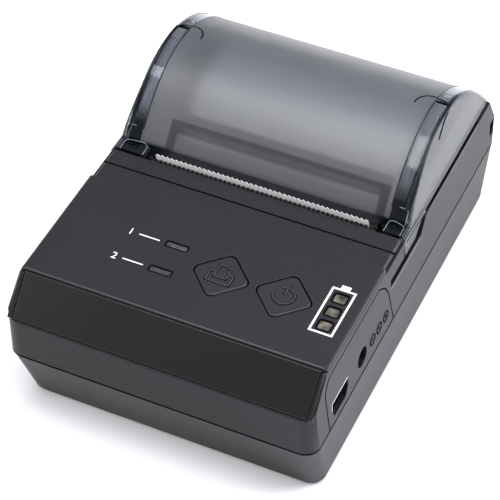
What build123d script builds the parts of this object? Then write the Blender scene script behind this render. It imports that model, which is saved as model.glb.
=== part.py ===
"""Portable thermal receipt printer with a clear hinged paper cover.

Millimetres. +X is the user's right, -Y the front, +Z up. The origin lies on the
table under the middle of the body. Each piece is its own solid in its own file.
"""

import os
from math import acos, atan2, cos, degrees, hypot, pi, radians, sin, tan

from build123d import *

os.makedirs("parts", exist_ok=True)


# Body
body_width = 80.5
body_length = 122.0
seam_height = 20.0
seam_gap = 0.4
wall = 2.0
floor = 2.6
corner_radius = 4.0
foot_height = 0.6
base_side_inset = 1.1
base_front_inset = 7.2
base_back_inset = 2.2
base_edge_radius = 1.4
case_lean = 2.6

# Front facets and top panel
front_facet_top = 31.5
slope_run = 8.8
panel_height = 41.2
panel_slab = 0.75
panel_bevel = 0.5
step_drop = 0.9
step_inset = 0.7
deck_drop = 2.2
deck_thickness = 1.6
plate_gap = 0.2
fascia_thickness = 1.0
fascia_side = 1.2

# Distances of the steps across the top, measured from the back end
step_back = 78.3
bezel_start_back = 71.7
tab_back = 66.2
bezel_end_back = 66.0
cover_back = 62.0
platen_back = 57.7

# Cover and its hinge
cover_bottom = 38.2
cover_clearance = 0.5
rail_chamfer = 0.8
cover_wall = 1.8
cover_lean = 7.0
cover_edge_radius = 1.2
cover_lip = 3.2
crown_rise = 17.2
hinge_back = 9.0
hinge_height = 35.2
barrel_radius = 3.0
barrel_half = 33.0
knuckle_radius = 2.6
hinge_gap = 0.3
pin_radius = 1.25
running = 0.05

# Finger slot and cover tabs
slot_low = 32.0
slot_height = 2.6
tab_wall = 1.4
guard_half = 36.9

# Paper roll and web
roll_radius = 18.0
roll_core_radius = 7.5
roll_core_wall = 1.5
roll_back = 32.5
roll_height = 28.0
paper_width = 57.0
paper_offset = 1.25
paper_thickness = 0.1
well_gap = 0.3
well_wall = 1.5
well_start = 237.0
rim_low = -27.25
rim_high = 29.75
stub_height = 2.4
stub_lean = 9.0

# Platen, gears and print head
platen_top = 39.0
platen_radius = 5.0
platen_shaft_radius = 2.0
bush_radius = 3.4
notch_gap = 0.1
web_gap = 0.25
gear_module = 0.5
platen_teeth = 20
idler_teeth = 18
pinion_teeth = 10
gear_width = 1.8
mesh_gap = 0.1
tooth_play = 0.14
idler_pin_radius = 1.0
motor_shaft_radius = 0.8
idler_angle = 250.0
pinion_angle = 180.0
head_width = 51.0
head_thickness = 0.8
sink_thickness = 2.4
motor_radius = 6.0
motor_length = 6.2

# Buttons, lights and sockets
button_side = 11.2
button_radius = 1.8
button_gap = 0.35
button_travel = 0.6
button_proud = 0.1
feed_button_at = (4.85, 25.6)
power_button_at = (21.0, 25.65)
stem_radius = 2.0
light_length = 5.5
light_width = 1.65
light_x = -8.8
error_light_front = 30.1
charge_light_front = 21.15
gauge_x = 33.25
gauge_cell_width = 3.2
gauge_cell_length = 2.9
gauge_pitch = 4.6
gauge_middle_front = 25.75
light_gap = 0.1
port_front = 7.0
port_back = 48.6
port_thickness = 1.2
port_gap = 0.15
usb_front = 15.5
usb_height = 24.9
jack_front = 28.9
jack_height = 25.7
jack_bore = 2.75

# Battery, boards, fasteners
battery_size = (47.0, 36.5, 11.0)
battery_front = 23.0
bay_gap = 0.6
bay_wall = 1.2
door_thickness = 1.5
door_rim = 2.3
door_travel = 5.0
board_thickness = 1.6
main_board_top = 22.9
screw_radius = 1.35
screw_head_radius = 2.7
boss_radius = 3.4
foot_radius = 4.0

# Positions that follow from the sizes above
front = -body_length / 2
back = body_length / 2
lean = tan(radians(case_lean))
panel_front = front + slope_run
step_front = back - step_back
bezel_start = back - bezel_start_back
bezel_end = back - bezel_end_back
step_height = panel_height - step_drop
deck_top = panel_height - deck_drop
deck_under = deck_top - deck_thickness
floor_top = foot_height + floor
base_top = seam_height - seam_gap / 2
case_bottom = seam_height + seam_gap / 2
hinge = (back - hinge_back, hinge_height)
roll_centre = (back - roll_back, roll_height)
platen = (back - platen_back, platen_top - platen_radius)
tab_start = back - tab_back
cover_start = back - cover_back
slot_start = tab_start - 9.0
rail_height = cover_bottom - cover_clearance
head_middle = paper_offset


def case_half(height):
    """Half the case's width at a height, on its leaning side."""
    return body_width / 2 - (height - seam_height) * lean


def cover_half(height):
    """Half the cover's width at a height, on its leaning side."""
    foot = case_half(cover_bottom) - 0.1
    return foot - (height - cover_bottom) * tan(radians(cover_lean))


def polar(centre, radius, angle):
    """Point at a radius and an angle in degrees round a centre."""
    turn = radians(angle)
    return (centre[0] + radius * cos(turn), centre[1] + radius * sin(turn))


def write(piece, name):
    """Label a finished piece and write it to its own file."""
    piece.part.label = name
    export_step(piece.part, f"parts/{name}.step")


def block(low, high):
    """Plain box between two corners, for use outside or inside a part."""
    size = [high[i] - low[i] for i in range(3)]
    middle = [(high[i] + low[i]) / 2 for i in range(3)]
    return Pos(*middle) * Box(*size, mode=Mode.PRIVATE)


def rod(centre, radius, start, end):
    """Cylinder along X, centred on a (y, z) point."""
    with BuildPart(mode=Mode.PRIVATE) as made:
        with BuildSketch(Plane.YZ.offset(start)):
            with Locations(centre):
                Circle(radius)
        extrude(amount=end - start)
    return made.part


def post(centre, radius, start, end):
    """Cylinder along Z, centred on an (x, y) point."""
    with BuildPart(mode=Mode.PRIVATE) as made:
        with BuildSketch(Plane.XY.offset(start)):
            with Locations(centre):
                Circle(radius)
        extrude(amount=end - start)
    return made.part


def plate_x(points, start, end):
    """Plate square to X, drawn as (y, z) points."""
    with BuildPart(mode=Mode.PRIVATE) as made:
        with BuildSketch(Plane.YZ.offset(start)):
            with BuildLine():
                Polyline(*points, close=True)
            make_face()
        extrude(amount=end - start)
    return made.part


# Routes of the paper and the plane of the print head
web_radius = platen_radius + web_gap
exit_point = (bezel_end + 0.25, step_height)
exit_distance = hypot(exit_point[0] - platen[0], exit_point[1] - platen[1])
exit_bearing = degrees(atan2(exit_point[1] - platen[1], exit_point[0] - platen[0]))
leave_angle = exit_bearing + degrees(acos(web_radius / exit_distance))
leave = polar(platen, web_radius, leave_angle)
web_direction = (
    (exit_point[0] - leave[0]) / hypot(exit_point[0] - leave[0], exit_point[1] - leave[1]),
    (exit_point[1] - leave[1]) / hypot(exit_point[0] - leave[0], exit_point[1] - leave[1]),
)
roll_gap = hypot(roll_centre[0] - platen[0], roll_centre[1] - platen[1])
roll_bearing = degrees(atan2(platen[1] - roll_centre[1], platen[0] - roll_centre[0]))
meet_angle = roll_bearing + degrees(acos((roll_radius + well_gap - web_radius) / roll_gap))
meet = polar(platen, web_radius, meet_angle)
roll_leave = polar(roll_centre, roll_radius + well_gap, meet_angle)
head_plane = Plane(
    origin=(head_middle, leave[0], leave[1]),
    x_dir=(1, 0, 0),
    z_dir=(0, platen[0] - leave[0], platen[1] - leave[1]),
)

exit_reach = hypot(exit_point[0] - leave[0], exit_point[1] - leave[1])
stub_plane = Plane(
    origin=(head_middle, exit_point[0], exit_point[1]),
    x_dir=(1, 0, 0),
    z_dir=(0, cos(radians(stub_lean)), sin(radians(stub_lean))),
)


def web_side(out, along):
    """Point beside the paper's straight run, out from it and along it."""
    return (
        leave[0] + along * web_direction[0] + out * web_direction[1],
        leave[1] + along * web_direction[1] - out * web_direction[0],
    )


# Left and right ends of the drive side
plate_left = -34.4
plate_right = 34.6
plate_sheet = 1.2
gear_start = plate_left - 2.3
idler_reach = (platen_teeth + idler_teeth) * gear_module / 2 + mesh_gap
idler = polar(platen, idler_reach, idler_angle)
pinion_reach = (idler_teeth + pinion_teeth) * gear_module / 2 + mesh_gap
pinion = polar(idler, pinion_reach, pinion_angle)


def envelope(points, width_inset, plan_inset, bottom, top):
    """Side profile cut to leaning sides and to the rounded plan of the case."""
    with BuildPart(mode=Mode.PRIVATE) as made:
        with BuildSketch(Plane.YZ):
            with BuildLine():
                Polyline(*points, close=True)
            make_face()
        extrude(amount=body_width, both=True)
        with BuildSketch(Plane.XZ):
            with BuildLine():
                low = case_half(bottom) - width_inset
                high = case_half(top) - width_inset
                Polyline((-low, bottom), (low, bottom), (high, top), (-high, top), close=True)
            make_face()
        extrude(amount=body_length, both=True, mode=Mode.INTERSECT)
        with BuildSketch(Plane.XY.offset(bottom)):
            RectangleRounded(
                body_width - 2 * plan_inset,
                body_length - 2 * plan_inset,
                corner_radius - plan_inset / 2,
            )
        extrude(amount=top - bottom, mode=Mode.INTERSECT)
    return made.part


# Feet, screws and boss places
foot_spots = [(-32.3, front + 15.5), (32.3, front + 15.5), (-27.8, back - 11.0), (27.8, back - 11.0)]
boss_x = case_half(seam_height + 8) - wall - boss_radius + 0.4
boss_spots = [
    (-boss_x, front + 40.0),
    (boss_x, front + 40.0),
    (-boss_x, back - 9.5),
    (boss_x, back - 9.5),
]
screw_seat = foot_height + 6.0
screw_end = case_bottom + 5.6
frame_front = platen[0] - 18.3
frame_back = platen[0] + 5.7
frame_floor = 16.5
frame_sheet = 1.2
frame_spots = [
    (-30.0, frame_front + 3.0),
    (30.0, frame_front + 3.0),
    (-30.0, frame_back - 4.0),
    (30.0, frame_back - 4.0),
]
board_front = front + 4.0
board_back = frame_front - 1.5
board_spots = [
    (-30.5, board_front + 5.0),
    (30.5, board_front + 5.0),
    (-26.5, board_back - 3.0),
    (26.5, board_back - 3.0),
]
battery_back = front + battery_front + battery_size[1]
bay_low = (-battery_size[0] / 2 - bay_gap, front + battery_front - bay_gap)
bay_high = (battery_size[0] / 2 + bay_gap, battery_back + 1.8)
battery_low = foot_height + door_thickness + 0.2
bay_roof = battery_low + battery_size[2] + bay_gap
door_low = (bay_low[0] - door_rim, bay_low[1] - door_rim)
door_high = (bay_high[0] + door_rim, bay_high[1] + door_rim)
door_top = foot_height + door_thickness
door_tongue = 0.8
tongue_low = foot_height + 0.7


def base_loft(inset, bottom, top):
    """Tapered tray block of the base between two heights, moved in by an inset."""
    def section(height):
        share = (seam_height - height) / (seam_height - foot_height)
        side = base_side_inset * share + inset
        ahead = base_front_inset * share + inset
        behind = base_back_inset * share + inset
        with BuildSketch(Plane.XY.offset(height)) as drawn:
            with Locations((0, (ahead - behind) / 2)):
                RectangleRounded(
                    body_width - 2 * side,
                    body_length - ahead - behind,
                    corner_radius - inset / 2,
                )
        return drawn.sketch

    with BuildPart(mode=Mode.PRIVATE) as made:
        loft(sections=[section(bottom), section(top)], ruled=True)
    return made.part


def make_base():
    """Lower casing: tapered tray with the battery bay, posts and screw bosses."""
    with BuildPart() as base:
        add(base_loft(0, foot_height, base_top))
        fillet(base.edges().group_by(Axis.Z)[0], base_edge_radius)
        add(base_loft(wall, floor_top, base_top), mode=Mode.SUBTRACT)
        # Lip that the upper case sits on
        with BuildSketch(Plane.XY.offset(base_top - 3.0)):
            RectangleRounded(body_width - 2 * wall + 0.6, body_length - 2 * wall + 0.6, 2.6)
            RectangleRounded(body_width - 2 * wall - 1.6, body_length - 2 * wall - 1.6, 2.0,
                             mode=Mode.SUBTRACT)
        extrude(amount=case_bottom - base_top + 3.0)
        # Walls and roof of the battery bay
        add(block((bay_low[0] - bay_wall, bay_low[1] - bay_wall, floor_top),
                  (bay_high[0] + bay_wall, bay_high[1] + bay_wall, bay_roof + bay_wall)))
        add(block((bay_low[0], bay_low[1], foot_height), (bay_high[0], bay_high[1], bay_roof)),
            mode=Mode.SUBTRACT)
        # Recess that the door slides in, longer than the door by its travel
        add(block((door_low[0] - plate_gap, door_low[1] - door_travel - plate_gap, foot_height),
                  (door_high[0] + plate_gap, door_high[1] + plate_gap, door_top)),
            mode=Mode.SUBTRACT)
        # Grooves beside the recess for the door's tongues
        add(block((door_low[0] - door_tongue - 0.1, door_low[1] - door_travel - plate_gap, tongue_low),
                  (door_high[0] + door_tongue + 0.1, door_high[1] + plate_gap, door_top)),
            mode=Mode.SUBTRACT)
        for spot in boss_spots:
            add(post(spot, boss_radius, floor_top, case_bottom))
        for spot in frame_spots:
            add(post(spot, 2.6, floor_top, frame_floor))
        for spot in board_spots:
            add(post(spot, 2.2, floor_top, main_board_top - board_thickness))
        for side in (-20.0, 20.0):
            add(block((side - 0.8, roll_centre[0] - 9, floor_top),
                      (side + 0.8, roll_centre[0] + 9, roll_centre[1] - roll_radius + 1)))
        add(rod(roll_centre, roll_radius + well_gap + well_wall, -30, 30), mode=Mode.SUBTRACT)
        for spot in boss_spots:
            add(post(spot, screw_head_radius + 0.2, foot_height, screw_seat), mode=Mode.SUBTRACT)
            add(post(spot, screw_radius, screw_seat, case_bottom), mode=Mode.SUBTRACT)
        for spot in foot_spots:
            add(post(spot, foot_radius, foot_height, foot_height + 0.6), mode=Mode.SUBTRACT)
    write(base, "base_shell")


def case_profile():
    """Side profile of the upper case as (y, z) points."""
    slope = slope_run / (panel_height - front_facet_top)
    rail = panel_height - panel_slab - plate_gap
    low_rail = step_height - panel_slab - plate_gap
    arc = [polar(hinge, knuckle_radius, angle) for angle in (100, 80, 60, 45, 30)]
    return [
        (front, case_bottom),
        (front, front_facet_top),
        (front + (rail - front_facet_top) * slope, rail),
        (step_front, rail),
        (step_front, low_rail),
        (tab_start - hinge_gap, low_rail),
        (tab_start - hinge_gap, slot_low),
        (tab_start + 10.7, slot_low),
        (tab_start + 15.5, rail_height),
        (hinge[0] - knuckle_radius - 1.5, rail_height),
        *arc,
        (back - 1.7, 27.2),
        (back, case_bottom),
    ]


def case_cavity():
    """Side profile of the room inside the upper case."""
    deck_edge = bezel_start + 2.1
    return [
        (front + wall, case_bottom - 1),
        (front + wall, front_facet_top - 0.8),
        (panel_front - 0.7, deck_under),
        (deck_edge, deck_under),
        (deck_edge, panel_height + 5),
        (hinge[0] - knuckle_radius - 0.9, panel_height + 5),
        (hinge[0] - knuckle_radius - 0.9, 32.5),
        (hinge[0] + 3.0, 32.5),
        (back - 3.9, 27.0),
        (back - wall, case_bottom - 1),
    ]


side_plane = Plane(
    origin=(case_half(seam_height), 0, seam_height),
    x_dir=(0, 1, 0),
    z_dir=(cos(radians(case_lean)), 0, sin(radians(case_lean))),
)
port_low = case_bottom - seam_height
port_outline = [
    (front + port_front + 2.1, port_low),
    (front + port_front, 14.3),
    (front + port_front + 1.8, 17.5),
    (front + port_front + 5.0, 18.2),
    (front + port_back - 9.0, 18.2),
    (front + port_back - 5.2, 15.2),
    (front + port_back - 3.2, 11.6),
    (front + port_back, port_low),
]


def port_sketch(gap):
    """Outline of the port panel on the leaning side wall, moved in by a gap."""
    with BuildSketch(side_plane) as drawn:
        with BuildLine():
            Polyline(*port_outline, close=True)
        make_face()
        fillet(drawn.vertices().group_by(Axis.Z)[-1], 2.4)
        if gap:
            offset(amount=-gap, kind=Kind.INTERSECTION)
    return drawn.sketch


def port_holes(room):
    """Openings for the data socket and the power jack, made larger by some room."""
    wide = usb_front + front
    with BuildSketch(side_plane) as drawn:
        with BuildLine():
            Polyline(
                (wide - 4.7 - room, usb_height - seam_height + 2.7 + room),
                (wide + 4.7 + room, usb_height - seam_height + 2.7 + room),
                (wide + 4.7 + room, usb_height - seam_height),
                (wide + 3.4 + room, usb_height - seam_height - 2.6 - room),
                (wide - 3.4 - room, usb_height - seam_height - 2.6 - room),
                (wide - 4.7 - room, usb_height - seam_height),
                close=True,
            )
        make_face()
        with Locations((front + jack_front, jack_height - seam_height)):
            Circle(jack_bore + room)
    return drawn.sketch


slope_length = hypot(slope_run, panel_height - front_facet_top)
slope_plane = Plane(
    origin=(0, front + slope_run / 2, (panel_height + front_facet_top) / 2),
    x_dir=(1, 0, 0),
    z_dir=(0, -(panel_height - front_facet_top), slope_run),
)


def light_holes(room):
    """Status light and gauge windows of the panel, made larger by some room."""
    with BuildSketch(Plane.XY) as drawn:
        for ahead in (error_light_front, charge_light_front):
            with Locations((light_x, front + ahead)):
                RectangleRounded(light_length - 2 * light_gap + 2 * room,
                                 light_width - 2 * light_gap + 2 * room, 0.4)
        for step in (-1, 0, 1):
            with Locations((gauge_x, front + gauge_middle_front + step * gauge_pitch)):
                RectangleRounded(gauge_cell_width - 2 * light_gap + 2 * room,
                                 gauge_cell_length - 2 * light_gap + 2 * room, 0.6)
    return drawn.sketch


def button_sketch(place, side):
    """Square button turned to stand on a corner."""
    with BuildSketch(Plane.XY) as drawn:
        with Locations(Location((place[0], front + place[1], 0), (0, 0, 45))):
            RectangleRounded(side, side, button_radius)
    return drawn.sketch


def stand(sketch, start, end):
    """Raise a flat sketch between two heights."""
    with BuildPart(mode=Mode.PRIVATE) as made:
        extrude(sketch, amount=end - start)
    return made.part.moved(Location((0, 0, start)))


def rail_wedge(side, start, end, size):
    """Three-sided bar that bevels the top outer edge of a side wall."""
    top = rail_height + 0.2
    with BuildPart(mode=Mode.PRIVATE) as made:
        with BuildSketch(Plane.XZ.offset(-end)):
            with BuildLine():
                Polyline(
                    (side * (case_half(rail_height) - size - 0.2), top),
                    (side * (case_half(rail_height) + 1), top),
                    (side * (case_half(rail_height) + 1), rail_height - size - 1),
                    close=True,
                )
            make_face()
        extrude(amount=end - start)
    return made.part


strap_at = (case_half(25) - 3.4, back - 3.6)
strap_low = seam_height + 3.6
strap_high = seam_height + 8.2


def make_upper_case():
    """Upper casing: side walls, front facets, deck under the panel and rear corners."""
    with BuildPart() as case:
        add(envelope(case_profile(), 0, 0, case_bottom, panel_height + 6))
        add(envelope(case_cavity(), wall, wall / 2, case_bottom - 1, panel_height + 6),
            mode=Mode.SUBTRACT)
        # Seat of the top panel and the bezel, below the side rails
        seat = case_half(deck_top) - wall + 0.2
        add(block((-seat, panel_front - 0.4, deck_top), (seat, bezel_end, panel_height)),
            mode=Mode.SUBTRACT)
        # Seat of the sloped front plate
        with BuildSketch(slope_plane.offset(-fascia_thickness)):
            Rectangle(2 * (case_half(panel_height) - fascia_side), slope_length - 0.8)
        extrude(amount=fascia_thickness + 3, mode=Mode.SUBTRACT)
        # Finger slots in both side walls, ahead of the cover's tabs
        for side in (-1, 1):
            outer = side * body_width / 2
            inner = side * (case_half(slot_low) - wall - 1)
            add(block((min(outer, inner), slot_start, slot_low),
                      (max(outer, inner), tab_start, slot_low + slot_height)),
                mode=Mode.SUBTRACT)
        # Guard walls that close the slots off from the mechanism
        for side in (-1, 1):
            guard = sorted((side * guard_half, side * (cover_half(cover_bottom) - tab_wall - 0.2)))
            root = sorted((side * guard_half, side * (case_half(slot_low) - 0.5)))
            add(block((guard[0], slot_start - 2, slot_low - 2.5),
                      (guard[1], tab_start + 17.5, rail_height)))
            add(block((root[0], slot_start - 2, slot_low - 2.5),
                      (root[1], tab_start + 17.5, slot_low - 0.6)))
        # Room for the cover's barrel between the rear corners
        add(block((-barrel_half - hinge_gap, hinge[0] - 8, 33.0),
                  (barrel_half + hinge_gap, back, panel_height)),
            mode=Mode.SUBTRACT)
        add(rod(hinge, barrel_radius + hinge_gap, -barrel_half - hinge_gap, barrel_half + hinge_gap),
            mode=Mode.SUBTRACT)
        for side in (-1, 1):
            ends = sorted((side * (barrel_half - 1), side * (barrel_half + 4.5)))
            add(rod(hinge, pin_radius, *ends), mode=Mode.SUBTRACT)
        # Bevels along the tops of the side walls, wider at the rear corners
        for side in (-1, 1):
            add(rail_wedge(side, tab_start + 15.0, hinge[0] - 5.5, rail_chamfer), mode=Mode.SUBTRACT)
            add(rail_wedge(side, hinge[0] - 5.5, back, 2 * rail_chamfer), mode=Mode.SUBTRACT)
        # Screw bosses against the side walls
        for spot in boss_spots:
            add(post(spot, boss_radius, case_bottom, screw_end + 1))
            add(post(spot, screw_radius, case_bottom, screw_end), mode=Mode.SUBTRACT)
        # Buttons and lights pass through the deck
        for place in (feed_button_at, power_button_at):
            add(post((place[0], front + place[1]), stem_radius + running, deck_under, deck_top),
                mode=Mode.SUBTRACT)
        add(stand(light_holes(light_gap), deck_under, deck_top), mode=Mode.SUBTRACT)
        # Recess of the port panel and the holes behind it
        extrude(port_sketch(0), amount=-port_thickness, mode=Mode.SUBTRACT)
        extrude(port_holes(0.4), amount=-2 * wall, mode=Mode.SUBTRACT)
        # Strap pocket in the rear right corner
        add(block((strap_at[0] - 4.4, strap_at[1] - 4.0, strap_low - 1.4),
                  (strap_at[0] + 1.6, strap_at[1] + 1.2, strap_high + 1.4)))
        add(block((strap_at[0] - 2.6, strap_at[1] - 2.2, strap_low),
                  (body_width, strap_at[1] + 1.4, strap_high)),
            mode=Mode.SUBTRACT)
    write(case, "upper_case")


def slab(front_edge, back_edge, top, drop, side_room):
    """Bevelled slab over the case's full width, resting on a narrower core."""
    half = case_half(top - panel_slab) - side_room
    core = case_half(deck_top) - wall
    with BuildPart(mode=Mode.PRIVATE) as made:
        add(block((-half, front_edge, top - panel_slab), (half, back_edge, top)))
        rims = made.edges().filter_by(Axis.Y).group_by(Axis.Z)[-1]
        chamfer(rims, length=panel_bevel)
        add(block((-core, front_edge + drop, deck_top), (core, back_edge, top - panel_slab)))
    return made.part


def make_control_panel():
    """Top panel with the openings for buttons, status lights and the charge gauge."""
    with BuildPart() as panel:
        add(slab(panel_front, step_front, panel_height, 1.2, 0.05))
        chamfer(panel.edges().filter_by(Axis.X).group_by(Axis.Z)[-1].sort_by(Axis.Y)[0], 0.3)
        add(slab(step_front, bezel_start - plate_gap / 2, step_height, 0.0, step_inset))
        for place in (feed_button_at, power_button_at):
            add(stand(button_sketch(place, button_side), deck_top, panel_height),
                mode=Mode.SUBTRACT)
        add(stand(light_holes(light_gap), deck_top, panel_height), mode=Mode.SUBTRACT)
    write(panel, "control_panel")


def make_front_fascia():
    """Glossy plate set into the sloped front facet."""
    with BuildPart() as fascia:
        with BuildSketch(slope_plane.offset(-fascia_thickness)):
            Rectangle(2 * (case_half(panel_height) - fascia_side) - 0.3, slope_length - 1.1)
        extrude(amount=fascia_thickness)
        chamfer(fascia.faces().sort_by(SortBy.AREA)[-2:].sort_by(Axis.Z)[-1].edges(), 0.2)
    write(fascia, "front_fascia")


tooth_pitch = 1.25
tooth_depth = 0.75


def make_tear_bezel():
    """Bezel ahead of the paper slot, its rear edge cut into tearing teeth."""
    start = paper_offset - paper_width / 2 - 1.0
    count = int((paper_width + 3.5) / tooth_pitch)
    teeth = []
    for index in range(count):
        teeth.append((start + index * tooth_pitch, bezel_end - tooth_depth))
        teeth.append((start + (index + 0.5) * tooth_pitch, bezel_end))
    finish = start + count * tooth_pitch
    with BuildPart() as bezel:
        add(slab(bezel_start + plate_gap / 2, bezel_end - tooth_depth, step_height, 0.0, step_inset))
        with BuildSketch(Plane.XY.offset(deck_top + 0.4)):
            with BuildLine():
                Polyline(*teeth, (finish, bezel_end - tooth_depth), (finish, bezel_end - 1.4),
                         (start, bezel_end - 1.4), close=True)
            make_face()
        extrude(amount=step_height - deck_top - 0.4)
    write(bezel, "tear_bezel")


def make_port_panel():
    """Side insert with the holes for the data socket and the power jack."""
    with BuildPart() as panel:
        extrude(port_sketch(port_gap), amount=-port_thickness)
        extrude(port_holes(0), amount=-2 * wall, mode=Mode.SUBTRACT)
    write(panel, "port_panel")


def make_sockets():
    """Data socket and power jack on the edge of the main board."""
    usb_y = front + usb_front
    usb_end = case_half(usb_height) - 1.6
    with BuildPart() as usb:
        add(block((usb_end - 9.0, usb_y - 3.85, main_board_top),
                  (usb_end, usb_y + 3.85, main_board_top + 3.95)))
        fillet(usb.edges().filter_by(Axis.X), 0.5)
        add(block((usb_end - 8.2, usb_y - 3.45, main_board_top + 0.4),
                  (usb_end, usb_y + 3.45, main_board_top + 3.55)), mode=Mode.SUBTRACT)
        add(block((usb_end - 8.4, usb_y - 2.6, main_board_top + 1.7),
                  (usb_end - 1.4, usb_y + 2.6, main_board_top + 2.5)))
    write(usb, "usb_socket")

    jack_y = front + jack_front
    jack_end = case_half(jack_height + 3.4) - wall - 0.1
    with BuildPart() as jack:
        add(block((jack_end - 11.0, jack_y - 4.5, main_board_top),
                  (jack_end, jack_y + 4.5, jack_height + 3.4)))
        fillet(jack.edges().filter_by(Axis.X).group_by(Axis.Z)[-1], 0.8)
        add(rod((jack_y, jack_height), jack_bore, jack_end - 9.5, jack_end), mode=Mode.SUBTRACT)
        add(rod((jack_y, jack_height), 0.65, jack_end - 10.0, jack_end - 3.5))
    write(jack, "power_jack")


switch_height = 1.5
button_board_top = deck_under - 1.5 - switch_height


def make_boards():
    """Main board under the panel and the small board under the buttons."""
    with BuildPart() as main:
        add(block((-33.0, board_front + 1.0, main_board_top - board_thickness),
                  (case_half(22) - wall - 0.4, board_back, main_board_top)))
        for spot in boss_spots[:2]:
            add(post(spot, boss_radius + 0.5, main_board_top - 5, main_board_top + 5),
                mode=Mode.SUBTRACT)
    write(main, "main_board")

    chips = [(-18.0, 18.0, 10.0, 1.4), (4.0, 22.0, 7.0, 1.0), (-20.0, 36.0, 5.0, 1.6)]
    with BuildPart() as parts:
        for x, ahead, size, height in chips:
            add(block((x - size / 2, front + ahead - size / 2, main_board_top),
                      (x + size / 2, front + ahead + size / 2, main_board_top + height)))
    write(parts, "board_components")

    with BuildPart() as small:
        add(block((light_x - 5.0, front + 17.0, button_board_top - board_thickness),
                  (gauge_x + 3.0, front + 35.0, button_board_top)))
    write(small, "button_board")

    with BuildPart() as pillars:
        for spot in ((-11.5, front + 19.0), (-11.5, front + 33.0), (12.8, front + 33.0)):
            add(post(spot, 1.2, button_board_top, deck_under))
    write(pillars, "board_pillars")

    for name, place in (("feed_switch", feed_button_at), ("power_switch", power_button_at)):
        with BuildPart() as switch:
            add(block((place[0] - 3, front + place[1] - 3, button_board_top),
                      (place[0] + 3, front + place[1] + 3, button_board_top + switch_height)))
            chamfer(switch.edges().group_by(Axis.Z)[-1], 0.3)
        write(switch, name)

    with BuildPart() as leds:
        for ahead in (error_light_front, charge_light_front):
            add(block((light_x - 0.8, front + ahead - 0.4, button_board_top),
                      (light_x + 0.8, front + ahead + 0.4, button_board_top + 0.6)))
        for step in (-1, 0, 1):
            ahead = gauge_middle_front + step * gauge_pitch
            add(block((gauge_x - 0.8, front + ahead - 0.4, button_board_top),
                      (gauge_x + 0.8, front + ahead + 0.4, button_board_top + 0.6)))
    write(leds, "indicator_leds")


def make_light_windows():
    """Light pipes that fill the status and gauge windows of the panel."""
    pipe_low = button_board_top + 0.8
    names = (("error_light", error_light_front), ("charge_light", charge_light_front))
    for name, ahead in names:
        with BuildPart() as pipe:
            with BuildSketch(Plane.XY.offset(pipe_low)):
                with Locations((light_x, front + ahead)):
                    RectangleRounded(light_length - 2 * light_gap, light_width - 2 * light_gap, 0.4)
            extrude(amount=panel_height - 0.15 - pipe_low)
        write(pipe, name)
    with BuildPart() as gauge:
        with BuildSketch(Plane.XY.offset(pipe_low)):
            for step in (-1, 0, 1):
                with Locations((gauge_x, front + gauge_middle_front + step * gauge_pitch)):
                    RectangleRounded(gauge_cell_width - 2 * light_gap,
                                     gauge_cell_length - 2 * light_gap, 0.6)
        extrude(amount=panel_height - 0.25 - pipe_low)
    write(gauge, "gauge_windows")


def make_buttons():
    """Two push buttons, each with the stem that presses its switch."""
    cap_low = deck_top + button_travel + 0.2
    stem_low = button_board_top + switch_height + button_travel
    for name, place in (("feed_button", feed_button_at), ("power_button", power_button_at)):
        with BuildPart() as button:
            add(stand(button_sketch(place, button_side - 2 * button_gap),
                      cap_low, panel_height + button_proud))
            fillet(button.edges().group_by(Axis.Z)[-1], 0.4)
            add(post((place[0], front + place[1]), stem_radius, stem_low, cap_low))
        write(button, name)


def dome_points():
    """Corner points of the cover's side profile."""
    start = (cover_start, cover_bottom + cover_lip)
    return {
        "start": start,
        "rise": (cover_start + 6.6, start[1] + 7.6),
        "shoulder": (cover_start + 14.5, start[1] + 12.6),
        "brow": (cover_start + 33.5, cover_bottom + crown_rise - 1.0),
        "end": (hinge[0] + 1.2, cover_bottom),
    }


def dome_face(bottom, inset):
    """Side profile of the dome down to a height, moved in by an inset."""
    at = dome_points()
    with BuildSketch(Plane.YZ) as drawn:
        with BuildLine():
            lip = Line((cover_start, bottom), at["start"])
            rise = ThreePointArc(lip @ 1, at["rise"], at["shoulder"])
            crown = TangentArc(rise @ 1, at["brow"], tangent=rise % 1)
            fall = TangentArc(crown @ 1, at["end"], tangent=crown % 1)
            if bottom < cover_bottom:
                Polyline(fall @ 1, (at["end"][0], bottom), (cover_start, bottom))
            else:
                Line(fall @ 1, (cover_start, bottom))
        make_face()
        if inset:
            offset(amount=-inset, kind=Kind.INTERSECTION)
    return drawn.sketch


def lean_block(bottom, top, inset):
    """Block with the cover's leaning sides, moved in by an inset."""
    low = cover_half(bottom) - inset
    high = cover_half(top) - inset
    with BuildPart(mode=Mode.PRIVATE) as made:
        with BuildSketch(Plane.XZ):
            with BuildLine():
                Polyline((-low, bottom), (low, bottom), (high, top), (-high, top), close=True)
            make_face()
        extrude(amount=body_length, both=True)
    return made.part


def gear_tip(teeth):
    """Outside radius of a gear."""
    return (teeth / 2 + 1) * gear_module


def dome_strip(start, end):
    """Thin layer of the dome's outside between two widths, above its feet."""
    with BuildPart(mode=Mode.PRIVATE) as made:
        extrude(dome_face(cover_bottom, 0), amount=end - start)
        extrude(dome_face(cover_bottom - 6, band_depth), amount=end - start, mode=Mode.SUBTRACT)
        add(block((-1, cover_start - 1, 0), (body_width, band_back, cover_bottom + 7.8)),
            mode=Mode.SUBTRACT)
        add(block((-1, band_back, 0), (body_width, back, 90)), mode=Mode.SUBTRACT)
    return made.part.moved(Location((start, 0, 0)))


slot_half = paper_width / 2 + 3.6
band_start = 33.6
band_end = 36.9
band_depth = 0.5
band_back = cover_start + 29.5


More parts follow.
